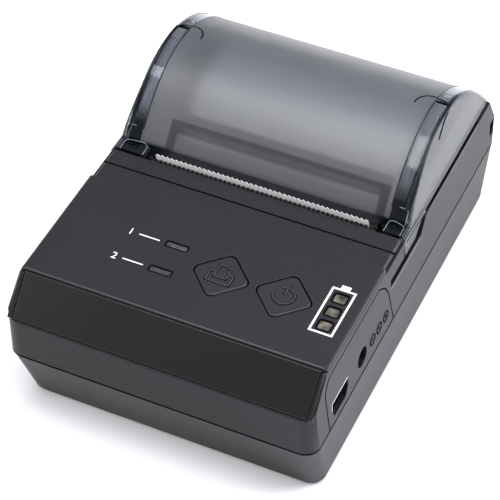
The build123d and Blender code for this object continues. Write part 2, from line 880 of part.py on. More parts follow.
def make_cover():
    """Clear cover: dome, leaning sides, front tabs, toes and the hinge barrel."""
    crown = cover_bottom + crown_rise + 3
    tab_low = slot_low + slot_height + 0.3
    with BuildPart() as cover:
        extrude(dome_face(cover_bottom, 0), amount=body_width, both=True)
        add(lean_block(tab_low, crown, 0), mode=Mode.INTERSECT)
        fillet(cover.edges().filter_by(GeomType.LINE, reverse=True), cover_edge_radius)
        with BuildPart(mode=Mode.PRIVATE) as room:
            extrude(dome_face(cover_bottom - 6, cover_wall), amount=body_width, both=True)
            add(lean_block(tab_low - 6, crown, cover_wall), mode=Mode.INTERSECT)
        add(room.part, mode=Mode.SUBTRACT)
        # Side tabs that hang beside the bezel, above the finger slots
        with BuildPart(mode=Mode.PRIVATE) as tabs:
            for side in (-1, 1):
                ends = sorted((side * (cover_half(cover_bottom) - tab_wall), side * body_width / 2))
                add(plate_x(
                    [
                        (tab_start, step_height),
                        (tab_start, tab_low),
                        (tab_start + 6.4, tab_low),
                        (tab_start + 13.1, cover_bottom),
                        (tab_start + 13.1, cover_bottom + 1),
                        (cover_start + 1, cover_bottom + cover_lip - 0.6),
                        (cover_start, step_height),
                    ],
                    *ends,
                ))
            add(lean_block(tab_low, crown, 0), mode=Mode.INTERSECT)
        add(tabs.part)
        # Toes at both ends of the paper slot
        for side in (-1, 1):
            ends = sorted((paper_offset + side * slot_half, side * (cover_half(cover_bottom) - 1)))
            add(block((ends[0], bezel_end + 0.3, deck_top - 0.4),
                      (ends[1], cover_start + cover_wall, step_height - 0.3)))
        # Clear bands set into both ends of the dome
        for start in (band_start, -band_end):
            add(dome_strip(start, start + band_end - band_start), mode=Mode.SUBTRACT)
        # Room for the platen and its gear behind the front lip
        add(rod(platen, platen_radius + 0.6, -barrel_half, barrel_half + 1), mode=Mode.SUBTRACT)
        reach = gear_tip(platen_teeth) + 0.5
        add(rod(platen, reach, gear_start - 0.5, gear_start + gear_width + 0.5), mode=Mode.SUBTRACT)
        # Barrel along the rear edge, bored at both ends for the hinge pins
        end = dome_points()["end"]
        root = [end, polar(hinge, barrel_radius, 42), hinge, (hinge[0] - 2.2, cover_bottom + 0.6)]
        add(plate_x(root, -barrel_half, barrel_half))
        add(rod(hinge, barrel_radius, -barrel_half, barrel_half))
        for side in (-1, 1):
            ends = sorted((side * (barrel_half - 9.5), side * barrel_half))
            add(rod(hinge, pin_radius + running, *ends), mode=Mode.SUBTRACT)
            ends = sorted((side * (barrel_half + hinge_gap), side * body_width))
            clear = knuckle_radius + 0.4
            add(rod(hinge, clear + 0.3, *ends), mode=Mode.SUBTRACT)
            add(block((ends[0], hinge[0] - 0.2, 30), (ends[1], back, 60)), mode=Mode.SUBTRACT)
    write(cover, "cover_shell")


def make_platen_holder():
    """Bracket inside the cover whose arms carry the platen in two bushes."""
    arms = ((plate_left + plate_sheet + 0.2, plate_left + plate_sheet + 2.8),
            (plate_right - 2.7, plate_right - 0.3))
    bar_low = platen[1] + platen_radius + 0.6
    bar_top = cover_bottom + cover_lip - 0.8
    with BuildPart() as holder:
        with BuildPart(mode=Mode.PRIVATE) as rim:
            extrude(dome_face(cover_bottom, cover_wall), amount=body_width, both=True)
            extrude(dome_face(cover_bottom - 6, cover_wall + 1.4), amount=body_width, both=True,
                    mode=Mode.SUBTRACT)
            add(block((paper_offset + rim_low, cover_start, bar_low),
                      (paper_offset + rim_high, cover_start + 9, bar_low + 7.0)),
                mode=Mode.INTERSECT)
            with BuildSketch(Plane.XZ.offset(-cover_start + 1)):
                with Locations((paper_offset + (rim_low + rim_high) / 2, bar_low + 3.9)):
                    RectangleRounded(rim_high - rim_low - 3.8, 3.4, 1.2)
            extrude(amount=-20, mode=Mode.SUBTRACT)
        add(rim.part)
        add(block((arms[0][0], cover_start + cover_wall, bar_low),
                  (arms[1][1], cover_start + cover_wall + 2.4, bar_top)))
        for arm in arms:
            add(rod(platen, bush_radius + 1.2, *arm))
            add(block((arm[0], cover_start + cover_wall, platen[1]),
                      (arm[1], platen[0] + 3.2, bar_top)))
            add(rod(platen, bush_radius, *arm), mode=Mode.SUBTRACT)
    write(holder, "platen_holder")

    with BuildPart() as bushes:
        for low, high in ((plate_left, arms[0][1]), (arms[1][0], plate_right + plate_sheet)):
            add(rod(platen, bush_radius, low, high))
            add(rod(platen, platen_shaft_radius + running, low, high), mode=Mode.SUBTRACT)
    write(bushes, "platen_bushes")


def gear_outline(teeth, turn):
    """Gear seen along its axis, with a tooth standing at the given angle."""
    pitch = teeth * gear_module / 2
    root = pitch - 1.25 * gear_module
    tip = gear_tip(teeth)
    half_root = (pi * gear_module / 2 - tooth_play) / 2 + 1.25 * gear_module * tan(radians(20))
    half_tip = (pi * gear_module / 2 - tooth_play) / 2 - gear_module * tan(radians(20))
    with BuildSketch(Plane.YZ) as drawn:
        Circle(root)
        for index in range(teeth):
            angle = turn + index * 360 / teeth
            corners = []
            for along, across in ((root - 0.2, half_root), (tip, half_tip)):
                corners.append((along, across))
                corners.append((along, -across))
            order = (corners[0], corners[2], corners[3], corners[1])
            with BuildLine():
                Polyline(*[turned(corner, angle) for corner in order], close=True)
            make_face()
    return drawn.sketch


def turned(point, angle):
    """Point turned about the origin by an angle in degrees."""
    turn = radians(angle)
    return (
        point[0] * cos(turn) - point[1] * sin(turn),
        point[0] * sin(turn) + point[1] * cos(turn),
    )


def gear(teeth, turn, centre):
    """Solid gear in place beside the left plate."""
    with BuildPart(mode=Mode.PRIVATE) as made:
        extrude(gear_outline(teeth, turn), amount=gear_width)
    return made.part.moved(Location((gear_start, *centre)))


def make_platen():
    """Rubber feed roller on its steel shaft, with the drive gear on the left end."""
    rubber_half = paper_width / 2 + 0.75
    with BuildPart() as rubber:
        add(rod(platen, platen_radius, paper_offset - rubber_half, paper_offset + rubber_half))
        add(rod(platen, platen_shaft_radius, -body_width, body_width), mode=Mode.SUBTRACT)
    write(rubber, "platen_rubber")

    with BuildPart() as shaft:
        add(rod(platen, platen_shaft_radius, gear_start, plate_right + plate_sheet + 0.2))
        chamfer(shaft.edges(), 0.3)
    write(shaft, "platen_shaft")

    with BuildPart() as wheel:
        add(gear(platen_teeth, idler_angle, platen))
        add(rod(platen, platen_shaft_radius, -body_width, body_width), mode=Mode.SUBTRACT)
    write(wheel, "platen_gear")


def make_drive():
    """Idler and motor pinion that turn the platen, with the stepper motor."""
    idler_turn = idler_angle + 180 + 180 / idler_teeth
    lag = (pinion_angle - idler_turn) % (360 / idler_teeth)
    pinion_turn = pinion_angle + 180 + lag * idler_teeth / pinion_teeth + 180 / pinion_teeth
    with BuildPart() as wheel:
        add(gear(idler_teeth, idler_turn, idler))
        add(rod(idler, idler_pin_radius + running, -body_width, body_width), mode=Mode.SUBTRACT)
    write(wheel, "idler_gear")

    with BuildPart() as pin:
        add(rod(idler, idler_pin_radius, gear_start, plate_left + plate_sheet))
        add(rod(idler, idler_pin_radius + 0.6, gear_start - 0.5, gear_start - running))
        add(rod(idler, idler_pin_radius, gear_start - 0.2, gear_start))
    write(pin, "idler_pin")

    with BuildPart() as small:
        add(gear(pinion_teeth, pinion_turn, pinion))
        add(rod(pinion, motor_shaft_radius, gear_start, plate_left + plate_sheet + 3.0))
    write(small, "motor_pinion")

    motor_start = plate_left + plate_sheet
    with BuildPart() as motor:
        add(rod(pinion, motor_radius, motor_start, motor_start + motor_length))
        chamfer(motor.edges().sort_by(Axis.X)[-1], 0.5)
        add(rod(pinion, motor_shaft_radius + running, motor_start, motor_start + 3.5),
            mode=Mode.SUBTRACT)
    write(motor, "stepper_motor")


def head_point(down, out):
    """World (y, z) of a point given along and across the head's plane."""
    along = head_plane.y_dir
    across = head_plane.z_dir
    return (
        leave[0] + down * along.Y + out * across.Y,
        leave[1] + down * along.Z + out * across.Z,
    )


head_face = -0.25
sink_face = head_face - head_thickness
sink_back = sink_face - sink_thickness
head_pivot = head_point(11.5, sink_face - 1.35)
head_ends = (head_middle - head_width / 2, head_middle + head_width / 2)


def make_head():
    """Thermal head on its sprung heat sink, hung on a pivot pin."""
    with BuildPart() as head:
        corners = [head_point(-3.0, head_face), head_point(8.0, head_face),
                   head_point(8.0, sink_face), head_point(-3.0, sink_face)]
        add(plate_x(corners, *head_ends))
    write(head, "print_head")

    with BuildPart() as sink:
        corners = [head_point(-4.0, sink_face), head_point(9.5, sink_face),
                   head_point(9.5, sink_back), head_point(-4.0, sink_back)]
        add(plate_x(corners, *head_ends))
        lug = [head_point(9.0, sink_face), head_point(13.2, sink_face),
               head_point(13.2, sink_back - 0.4), head_point(9.0, sink_back - 0.4)]
        for start in (head_ends[0], head_ends[1] - 3.0):
            add(plate_x(lug, start, start + 3.0))
        add(rod(head_pivot, 1.0 + running, -body_width, body_width), mode=Mode.SUBTRACT)
    write(sink, "heat_sink")

    with BuildPart() as pin:
        add(rod(head_pivot, 1.0, plate_left, plate_right + plate_sheet))
    write(pin, "head_pivot_pin")

    touch = head_point(1.0, sink_back - 0.05)
    wall_back = frame_front + frame_sheet
    with BuildPart() as springs:
        for middle in (head_middle - 13.0, head_middle + 13.0):
            leaf = [
                (wall_back, frame_floor + 6.0),
                (wall_back, touch[1] - 3.0),
                (touch[0] - 1.4, touch[1] + 0.4),
                (touch[0], touch[1]),
                (touch[0] - 0.4, touch[1] - 0.6),
                (touch[0] - 1.4, touch[1] - 0.1),
                (wall_back + 0.4, touch[1] - 3.4),
                (wall_back + 0.4, frame_floor + 6.0),
            ]
            add(plate_x(leaf, middle - 2.5, middle + 2.5))
    write(springs, "head_springs")


def make_frame():
    """Pressed chassis that carries the motor, the head and the platen bushes."""
    ends = ((plate_left, plate_left + plate_sheet), (plate_right, plate_right + plate_sheet))
    with BuildPart() as frame:
        add(block((plate_left, frame_front, frame_floor),
                  (plate_right + plate_sheet, frame_back, frame_floor + frame_sheet)))
        add(block((plate_left, frame_front, frame_floor),
                  (plate_right + plate_sheet, frame_front + frame_sheet, frame_floor + 14)))
        for low, high in ends:
            add(block((low, frame_front, frame_floor), (high, frame_back, platen[1] + 1.5)))
            corner = frame.edges().filter_by(Axis.X).group_by(Axis.Z)[-1]
            fillet(corner.filter_by(lambda edge: low - 0.1 < edge.center().X < high + 0.1), 2.0)
            add(rod(platen, bush_radius + notch_gap, low, high), mode=Mode.SUBTRACT)
            add(block((low, platen[0] - bush_radius - notch_gap, platen[1]),
                      (high, platen[0] + bush_radius + notch_gap, platen[1] + 9)),
                mode=Mode.SUBTRACT)
        add(rod(head_pivot, 1.0, -body_width, body_width), mode=Mode.SUBTRACT)
        add(rod(idler, idler_pin_radius, plate_left - 1, plate_left + 3), mode=Mode.SUBTRACT)
        add(rod(pinion, motor_shaft_radius + 0.2, plate_left - 1, plate_left + 3),
            mode=Mode.SUBTRACT)
    write(frame, "mechanism_frame")

    with BuildPart() as sensor:
        add(block((paper_offset - 4, platen[0] - 0.1, frame_floor + frame_sheet),
                  (paper_offset + 4, platen[0] + 3.9, frame_floor + frame_sheet + 3.6)))
        chamfer(sensor.edges().group_by(Axis.Z)[-1], 0.4)
    write(sensor, "paper_sensor")


def make_paper():
    """Paper roll on its core, the cradle below it and the web up to the slot."""
    half = paper_width / 2
    ends = (paper_offset - half, paper_offset + half)
    with BuildPart() as roll:
        add(rod(roll_centre, roll_radius, *ends))
        add(rod(roll_centre, roll_core_radius, *ends), mode=Mode.SUBTRACT)
    write(roll, "paper_roll")

    with BuildPart() as core:
        add(rod(roll_centre, roll_core_radius, *ends))
        add(rod(roll_centre, roll_core_radius - roll_core_wall, *ends), mode=Mode.SUBTRACT)
    write(core, "roll_core")

    inner = roll_radius + well_gap
    outer = inner + well_wall
    with BuildPart() as well:
        with BuildSketch(Plane.YZ.offset(ends[0] - 2.2)):
            with BuildLine():
                low = CenterArc(roll_centre, outer, well_start, 360 - well_start)
                high = CenterArc(roll_centre, inner, well_start, 360 - well_start)
                Line(low @ 0, high @ 0)
                Line(low @ 1, high @ 1)
            make_face()
        extrude(amount=paper_width + 4.4)
        for start in (ends[0] - 2.2, ends[1] + 0.7):
            with BuildSketch(Plane.YZ.offset(start)):
                with Locations(roll_centre):
                    Circle(outer)
                with Locations((roll_centre[0], roll_centre[1] + 2)):
                    Rectangle(60, 60, align=(Align.CENTER, Align.MIN), mode=Mode.SUBTRACT)
                with Locations(polar(roll_centre, outer, well_start)):
                    Rectangle(40, 60, align=(Align.MAX, Align.CENTER), mode=Mode.SUBTRACT)
            extrude(amount=1.5)
    write(well, "paper_well")

    thick = paper_thickness / 2
    with BuildPart() as web:
        with BuildSketch(Plane.YZ.offset(ends[0])):
            with BuildLine():
                outside = Line(polar(roll_leave, thick, meet_angle), polar(meet, thick, meet_angle))
                wrap = CenterArc(platen, web_radius + thick, meet_angle, leave_angle - meet_angle)
                Line(wrap @ 1, polar(leave, -thick, leave_angle))
                inside = CenterArc(platen, web_radius - thick, leave_angle,
                                   meet_angle - leave_angle)
                Line(inside @ 1, polar(roll_leave, -thick, meet_angle))
                Line(polar(roll_leave, -thick, meet_angle), outside @ 0)
            make_face()
        extrude(amount=paper_width)
        add(plate_x([web_side(-thick, 0), web_side(thick, 0), web_side(thick, exit_reach),
                     web_side(-thick, exit_reach)], *ends))
        steps = int(paper_width / tooth_pitch)
        pitch = paper_width / steps
        teeth = []
        for index in range(steps):
            teeth.append((half - (index + 0.5) * pitch, -stub_height))
            teeth.append((half - (index + 1) * pitch, -stub_height + tooth_depth))
        with BuildSketch(stub_plane.offset(-thick)):
            with BuildLine():
                Polyline((-half, 0), (half, 0), (half, -stub_height + tooth_depth), *teeth,
                         close=True)
            make_face()
        extrude(amount=paper_thickness)
    write(web, "paper_web")


def make_battery():
    """Battery pack, its contacts and the sliding door below it."""
    with BuildPart() as pack:
        add(block((-battery_size[0] / 2, front + battery_front, battery_low),
                  (battery_size[0] / 2, battery_back, battery_low + battery_size[2])))
        fillet(pack.edges().filter_by(Axis.Y), 2.0)
        fillet(pack.edges().filter_by(Axis.X), 0.8)
    write(pack, "battery_pack")

    with BuildPart() as contacts:
        for x in (-6.0, 0.0, 6.0):
            add(block((x - 0.9, battery_back, battery_low + 3), (x + 0.9, bay_high[1], battery_low + 8)))
    write(contacts, "battery_contacts")

    with BuildPart() as door:
        add(block((door_low[0], door_low[1], foot_height),
                  (door_high[0], door_high[1], door_top - 0.1)))
        add(block((door_low[0] - door_tongue, door_low[1] + 4, tongue_low + 0.1),
                  (door_high[0] + door_tongue, door_high[1] - 4, door_top - 0.1)))
        # Grip ribs that the thumb pushes on
        for row in range(6):
            edge = door_low[1] + 5.0 + row * 1.6
            add(block((-8, edge, foot_height), (8, edge + 0.8, foot_height + 0.5)),
                mode=Mode.SUBTRACT)
    write(door, "battery_door")


def make_fasteners():
    """Screws, rubber feet, hinge pins and the strap pin."""
    with BuildPart() as screws:
        for spot in boss_spots:
            add(post(spot, screw_head_radius, screw_seat - 1.8, screw_seat))
            add(post(spot, screw_radius, screw_seat, screw_end - 0.3))
            add(post(spot, 1.0, screw_seat - 1.8, screw_seat - 0.8), mode=Mode.SUBTRACT)
    write(screws, "case_screws")

    with BuildPart() as feet:
        for spot in foot_spots:
            add(post(spot, foot_radius, 0, foot_height + 0.6))
        chamfer(feet.edges().group_by(Axis.Z)[0], 0.3)
    write(feet, "rubber_feet")

    with BuildPart() as pins:
        for side in (-1, 1):
            ends = sorted((side * (barrel_half - 9.2), side * (barrel_half + 4.5)))
            add(rod(hinge, pin_radius, *ends))
    write(pins, "hinge_pins")

    with BuildPart() as strap:
        add(post(strap_at, 0.9, strap_low, strap_high))
    write(strap, "strap_pin")


make_base()
make_upper_case()
make_control_panel()
make_front_fascia()
make_tear_bezel()
make_port_panel()
make_sockets()
make_boards()
make_light_windows()
make_buttons()
make_cover()
make_platen_holder()
make_platen()
make_drive()
make_head()
make_frame()
make_paper()
make_battery()
make_fasteners()
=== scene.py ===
"""Looks of the portable receipt printer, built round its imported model."""

from math import atan2, cos, radians, sin, tan

import bpy
from mathutils import Matrix, Vector


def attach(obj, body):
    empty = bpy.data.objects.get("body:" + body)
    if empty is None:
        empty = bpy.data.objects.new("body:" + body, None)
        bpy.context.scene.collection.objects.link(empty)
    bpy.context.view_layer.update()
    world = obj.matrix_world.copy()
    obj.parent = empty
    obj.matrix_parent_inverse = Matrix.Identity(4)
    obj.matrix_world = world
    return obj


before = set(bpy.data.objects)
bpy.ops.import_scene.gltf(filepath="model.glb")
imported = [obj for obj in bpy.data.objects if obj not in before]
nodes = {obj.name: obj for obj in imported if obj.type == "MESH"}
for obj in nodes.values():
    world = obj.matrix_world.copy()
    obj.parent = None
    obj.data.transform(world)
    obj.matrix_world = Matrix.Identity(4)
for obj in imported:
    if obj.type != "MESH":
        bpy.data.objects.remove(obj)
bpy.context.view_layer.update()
MM = 0.001
SIDES = ((1, "right"), (-1, "left"))


# Camera and studio

# Lens and sensor in millimetres, clipping in metres
LENS = 152.57
SENSOR_WIDTH = 36.0
CLIP_START = 0.05
CLIP_END = 10.0
# Angles in degrees, distances in millimetres
CAMERA_AZIMUTH = 24.6
CAMERA_ELEVATION = 45.145
CAMERA_TARGET = (0.0, 0.0, 20.0)
CAMERA_DISTANCE = 536.1
CAMERA_SHIFT_LEFT = 3.504
CAMERA_SHIFT_DOWN = 3.23


def add_camera():
    """Long lens at the photograph's angle, its frame centred on the lens axis."""
    data = bpy.data.cameras.new("photo_camera")
    data.lens = LENS
    data.sensor_width = SENSOR_WIDTH
    data.clip_start = CLIP_START
    data.clip_end = CLIP_END
    camera = bpy.data.objects.new("photo_camera", data)
    bpy.context.scene.collection.objects.link(camera)
    azimuth = radians(CAMERA_AZIMUTH)
    elevation = radians(CAMERA_ELEVATION)
    back = Vector((sin(azimuth) * cos(elevation), -cos(azimuth) * cos(elevation), sin(elevation)))
    right = Vector((cos(azimuth), sin(azimuth), 0.0))
    up = back.cross(right)
    place = Vector(CAMERA_TARGET) + back * CAMERA_DISTANCE
    place = place - right * CAMERA_SHIFT_LEFT - up * CAMERA_SHIFT_DOWN
    turn = Matrix((right, up, back)).transposed().to_4x4()
    camera.matrix_world = Matrix.Translation(place * MM) @ turn
    bpy.context.scene.camera = camera


WORLD_STRENGTH = 0.32
FLOOR_SIZE = 6.0
WHITE = (1.0, 1.0, 1.0)
COOL_WHITE = (0.93, 0.95, 1.0)
# Name, place, target, size in metres, power in watts and tint
SOFTBOXES = (
    ("overhead", (0.1, -0.1, 0.9), (0.0, 0.0, 0.0), (0.8, 0.8), 10.5, WHITE),
    ("back_right", (0.75, 0.45, 0.5), (0.25, 0.25, 0.0), (0.6, 0.6), 11.0, COOL_WHITE),
    ("front_left", (-0.75, -0.5, 0.5), (0.0, 0.0, 0.03), (0.35, 0.35), 5.0, WHITE),
)


def add_softbox(name, place, target, size, power, tint):
    """Large soft area light aimed at a point of the object."""
    data = bpy.data.lights.new(name, "AREA")
    data.color = tint
    data.shape = "RECTANGLE"
    data.size, data.size_y = size
    data.energy = power
    light = bpy.data.objects.new(name, data)
    bpy.context.scene.collection.objects.link(light)
    aim = (Vector(target) - Vector(place)).to_track_quat("-Z", "Y")
    light.matrix_world = Matrix.Translation(place) @ aim.to_matrix().to_4x4()


def add_studio():
    """Pale floor, even pale surroundings and three softboxes."""
    world = bpy.data.worlds.new("studio")
    bpy.context.scene.world = world
    world.use_nodes = True
    background = world.node_tree.nodes["Background"]
    background.inputs["Color"].default_value = (*WHITE, 1.0)
    background.inputs["Strength"].default_value = WORLD_STRENGTH
    for softbox in SOFTBOXES:
        add_softbox(*softbox)
    bpy.context.scene.view_settings.view_transform = "Standard"
    bpy.ops.object.select_all(action="DESELECT")
    bpy.ops.mesh.primitive_plane_add(size=FLOOR_SIZE, location=(0, 0, 0))
    floor = bpy.context.object
    floor.name = "floor"
    floor.data.materials.append(floor_finish())


# Shared surface effects

BEVEL_SAMPLES = 4
# Strength of the painted highlight along edges
HIGHLIGHT_STRENGTH = 6.0
COAT_ROUGHNESS = 0.08
CLEAR_IOR = 1.45
# Lengths in metres
HIGHLIGHT_RADIUS = 0.0003
GRAIN_HEIGHT = 0.00006
COVER_GRAIN_HEIGHT = 0.00004
FINE_GRAIN_HEIGHT = 0.00003


def new_group(name, inputs, outputs):
    """Empty shader node group with named sockets."""
    group = bpy.data.node_groups.new(name, "ShaderNodeTree")
    for label, kind, value in inputs:
        socket = group.interface.new_socket(label, in_out="INPUT", socket_type=kind)
        socket.default_value = value
    for label, kind in outputs:
        group.interface.new_socket(label, in_out="OUTPUT", socket_type=kind)
    start = group.nodes.new("NodeGroupInput")
    end = group.nodes.new("NodeGroupOutput")
    return group, start, end


def math_node(tree, operation, a, b=None, c=None):
    """Math node fed by sockets or plain numbers; returns its output."""
    node = tree.nodes.new("ShaderNodeMath")
    node.operation = operation
    for place, value in enumerate((a, b, c)):
        if value is None:
            continue
        if isinstance(value, (int, float)):
            node.inputs[place].default_value = value
        else:
            tree.links.new(value, node.inputs[place])
    return node.outputs[0]


def flip(tree, value):
    """One minus a value, which turns a mask round."""
    return math_node(tree, "SUBTRACT", 1.0, value)


def both(tree, one, other):
    """Product of two values, which keeps what two masks share."""
    return math_node(tree, "MULTIPLY", one, other)


def noise(tree, coords, scale, detail=3.0, rough=0.55):
    """Noise over the given coordinates; returns its value."""
    node = tree.nodes.new("ShaderNodeTexNoise")
    node.inputs["Detail"].default_value = detail
    node.inputs["Roughness"].default_value = rough
    if isinstance(scale, (int, float)):
        node.inputs["Scale"].default_value = scale
    else:
        tree.links.new(scale, node.inputs["Scale"])
    tree.links.new(coords, node.inputs["Vector"])
    return node.outputs["Fac"]


def object_coords(tree):
    """Object coordinates of the piece."""
    return tree.nodes.new("ShaderNodeTexCoord").outputs["Object"]


def split_coords(tree, coords):
    """Coordinates taken apart; returns the sockets X, Y and Z."""
    split = tree.nodes.new("ShaderNodeSeparateXYZ")
    tree.links.new(coords, split.inputs[0])
    return split.outputs["X"], split.outputs["Y"], split.outputs["Z"]


def make_mottle():
    """Slow and fine variation of a surface's tone and roughness."""
    group, start, end = new_group(
        "surface_mottle",
        (("Colour", "NodeSocketColor", (0.1, 0.1, 0.1, 1.0)),
         ("Roughness", "NodeSocketFloat", 0.5),
         ("Spread", "NodeSocketFloat", 0.1),
         ("Scale", "NodeSocketFloat", 60.0)),
        (("Colour", "NodeSocketColor"), ("Roughness", "NodeSocketFloat")),
    )
    coords = object_coords(group)
    slow = noise(group, coords, start.outputs["Scale"], 4.0)
    swing = math_node(group, "SUBTRACT", slow, 0.5)
    swing = both(group, swing, start.outputs["Spread"])
    tone = math_node(group, "ADD", swing, 1.0)
    scaled = group.nodes.new("ShaderNodeVectorMath")
    scaled.operation = "SCALE"
    group.links.new(start.outputs["Colour"], scaled.inputs[0])
    group.links.new(tone, scaled.inputs["Scale"])
    group.links.new(scaled.outputs[0], end.inputs["Colour"])
    rough = math_node(group, "MULTIPLY_ADD", swing, 0.6, start.outputs["Roughness"])
    group.links.new(rough, end.inputs["Roughness"])
    return group


def make_grain():
    """Fine spark-eroded texture of moulded plastic, as a height."""
    group, start, end = new_group(
        "moulded_grain",
        (("Scale", "NodeSocketFloat", 4000.0), ("Depth", "NodeSocketFloat", 0.5)),
        (("Height", "NodeSocketFloat"),),
    )
    coords = object_coords(group)
    fine = noise(group, coords, start.outputs["Scale"], 2.0, 0.6)
    height = both(group, fine, start.outputs["Depth"])
    group.links.new(height, end.inputs["Height"])
    return group


def make_edge_highlight():
    """Mask of the edges of a moulding, from its rounded and its true normals, where a highlight is
    painted.
    """
    group, start, end = new_group(
        "painted_edge_highlight",
        (("Radius", "NodeSocketFloat", HIGHLIGHT_RADIUS), ("Strength", "NodeSocketFloat", 1.0)),
        (("Mask", "NodeSocketFloat"),),
    )
    bevel = group.nodes.new("ShaderNodeBevel")
    bevel.samples = BEVEL_SAMPLES
    group.links.new(start.outputs["Radius"], bevel.inputs["Radius"])
    flat = group.nodes.new("ShaderNodeNewGeometry")
    product = group.nodes.new("ShaderNodeVectorMath")
    product.operation = "DOT_PRODUCT"
    group.links.new(bevel.outputs["Normal"], product.inputs[0])
    group.links.new(flat.outputs["True Normal"], product.inputs[1])
    turned = flip(group, product.outputs["Value"])
    scaled = both(group, turned, start.outputs["Strength"])
    group.links.new(math_node(group, "MINIMUM", scaled, 1.0), end.inputs["Mask"])
    return group


MOTTLE = make_mottle()
GRAIN = make_grain()
EDGE_HIGHLIGHT = make_edge_highlight()


def new_material(name):
    """Material with an empty tree but for its shader and output."""
    material = bpy.data.materials.new(name)
    material.use_nodes = True
    shader = material.node_tree.nodes["Principled BSDF"]
    return material, material.node_tree, shader


def place_group(tree, group, **values):
    """Shared group set into a material with its own values."""
    node = tree.nodes.new("ShaderNodeGroup")
    node.node_tree = group
    for label, value in values.items():
        node.inputs[label].default_value = value
    return node


def add_bump(tree, shader, height, distance, soften=0.0):
    """Bump from a height, over edges softened by a radius where one is given."""
    bump = tree.nodes.new("ShaderNodeBump")
    bump.inputs["Distance"].default_value = distance
    bump.inputs["Strength"].default_value = 1.0
    tree.links.new(height, bump.inputs["Height"])
    if soften:
        bevel = tree.nodes.new("ShaderNodeBevel")
        bevel.samples = BEVEL_SAMPLES
        bevel.inputs["Radius"].default_value = soften
        tree.links.new(bevel.outputs["Normal"], bump.inputs["Normal"])
    tree.links.new(bump.outputs["Normal"], shader.inputs["Normal"])


def finish_plastic(name, colour, rough, spread=0.12, scale=60.0, grain=4000.0, depth=0.5,
                   soften=0.0, specular=0.5, metallic=0.0, coat=0.0, edge_highlight=None):
    """Solid finish with mottled tone and roughness, a fine grain and, where asked, painted edge
    highlights.
    """
    material, tree, shader = new_material(name)
    mottle = place_group(tree, MOTTLE, Colour=(*colour, 1.0), Roughness=rough, Spread=spread,
                         Scale=scale)
    tone = mottle.outputs["Colour"]
    if edge_highlight:
        highlight = place_group(tree, EDGE_HIGHLIGHT, Radius=HIGHLIGHT_RADIUS, Strength=HIGHLIGHT_STRENGTH)
        tone = blend_colours(tree, highlight.outputs["Mask"], tone, edge_highlight)
    tree.links.new(tone, shader.inputs["Base Color"])
    tree.links.new(mottle.outputs["Roughness"], shader.inputs["Roughness"])
    shader.inputs["Metallic"].default_value = metallic
    shader.inputs["Specular IOR Level"].default_value = specular
    shader.inputs["Coat Weight"].default_value = coat
    shader.inputs["Coat Roughness"].default_value = COAT_ROUGHNESS
    texture = place_group(tree, GRAIN, Scale=grain, Depth=depth)
    add_bump(tree, shader, texture.outputs["Height"], GRAIN_HEIGHT, soften)
    return material


def floor_finish():
    """Matt near-white paper sweep."""
    return finish_plastic("floor_paper", (0.90, 0.905, 0.935), 0.9, 0.02, 3.0, 300.0, 0.3)


def less(tree, value, limit, soft):
    """Mask that is one below a limit and falls to nothing over a soft width."""
    node = tree.nodes.new("ShaderNodeMapRange")
    node.inputs["From Min"].default_value = limit - soft
    node.inputs["From Max"].default_value = limit + soft
    node.inputs["To Min"].default_value = 1.0
    node.inputs["To Max"].default_value = 0.0
    tree.links.new(value, node.inputs["Value"])
    return node.outputs["Result"]


def blend_values(tree, mask, low, high):
    """Number between two by a mask."""
    mixed = tree.nodes.new("ShaderNodeMix")
    tree.links.new(mask, mixed.inputs["Factor"])
    for place, value in (("A", low), ("B", high)):
        if isinstance(value, (int, float)):
            mixed.inputs[place].default_value = value
        else:
            tree.links.new(value, mixed.inputs[place])
    return mixed.outputs["Result"]


def blend_colours(tree, mask, low, high):
    """Colour between two by a mask."""
    mixed = tree.nodes.new("ShaderNodeMix")
    mixed.data_type = "RGBA"
    tree.links.new(mask, mixed.inputs["Factor"])
    for place, value in ((6, low), (7, high)):
        if isinstance(value, tuple):
            mixed.inputs[place].default_value = (*value, 1.0)
        else:
            tree.links.new(value, mixed.inputs[place])
    return mixed.outputs[2]


# Limits of the cover's areas in metres, from its middle or from the floor
DOME_HALF = 0.0335
BAND_HALF = 0.0382
STRIPE_START = 0.0363
TAB_TOP = 0.0402
TOE_BACK = -0.0008
TOE_TOP = 0.0408
FOOT_TOP = 0.0465
CROWN_START = 0.0540
RIM_MIDDLE = 0.0027
RIM_BACK = 0.016
# Half width and top of the rim's outer and inner outline, and how far each one fades
RIM_OUTER = (0.0294, 0.0473, 0.0002)
RIM_INNER = (0.0271, 0.0449, 0.0003)
# How far the edge of an area fades, in metres
FINE_FADE = 0.0001
EDGE_FADE = 0.0002
STRIPE_FADE = 0.0003
FOOT_FADE = 0.0015
CROWN_FADE = 0.0020

COVER_TRANSMISSION = 0.87
TAB_ROUGHNESS = 0.4
# Roughness at its least, and how much the clouding adds to it
DOME_ROUGHNESS = (0.30, 0.08)
BAND_ROUGHNESS = (0.04, 0.03)
CLOUD_SCALE = 90.0
SLANT_START = 0.72
SLANT_FADE = 0.22
DOME_TINT = (0.48, 0.49, 0.52)
# Painted shade: the crown of the dome is tinted darker
CROWN_SHADE_TINT = (0.35, 0.37, 0.41)
RIM_TINT = (0.19, 0.20, 0.225)
BAND_TINT = (0.46, 0.50, 0.57)
STRIPE_TINT = (0.035, 0.045, 0.070)
WALL_TINT = (0.27, 0.285, 0.33)
TAB_TINT = (0.12, 0.125, 0.14)
# Painted shade: near-black over the toes and the foot of each band
TOE_SHADE_TINT = (0.020, 0.028, 0.045)
SLANT_TINT = (0.07, 0.08, 0.10)


def rim_mask(tree, x, y, z):
    """Mask of the inner rim seen through the dome: a bar across and a leg down each side."""
    sideways = math_node(tree, "ABSOLUTE", math_node(tree, "SUBTRACT", x, RIM_MIDDLE))
    areas = []
    for half, top, fade in (RIM_OUTER, RIM_INNER):
        areas.append(both(tree, less(tree, sideways, half, fade), less(tree, z, top, fade)))
    frame_only = math_node(tree, "SUBTRACT", *areas)
    return both(tree, frame_only, less(tree, y, RIM_BACK, EDGE_FADE))


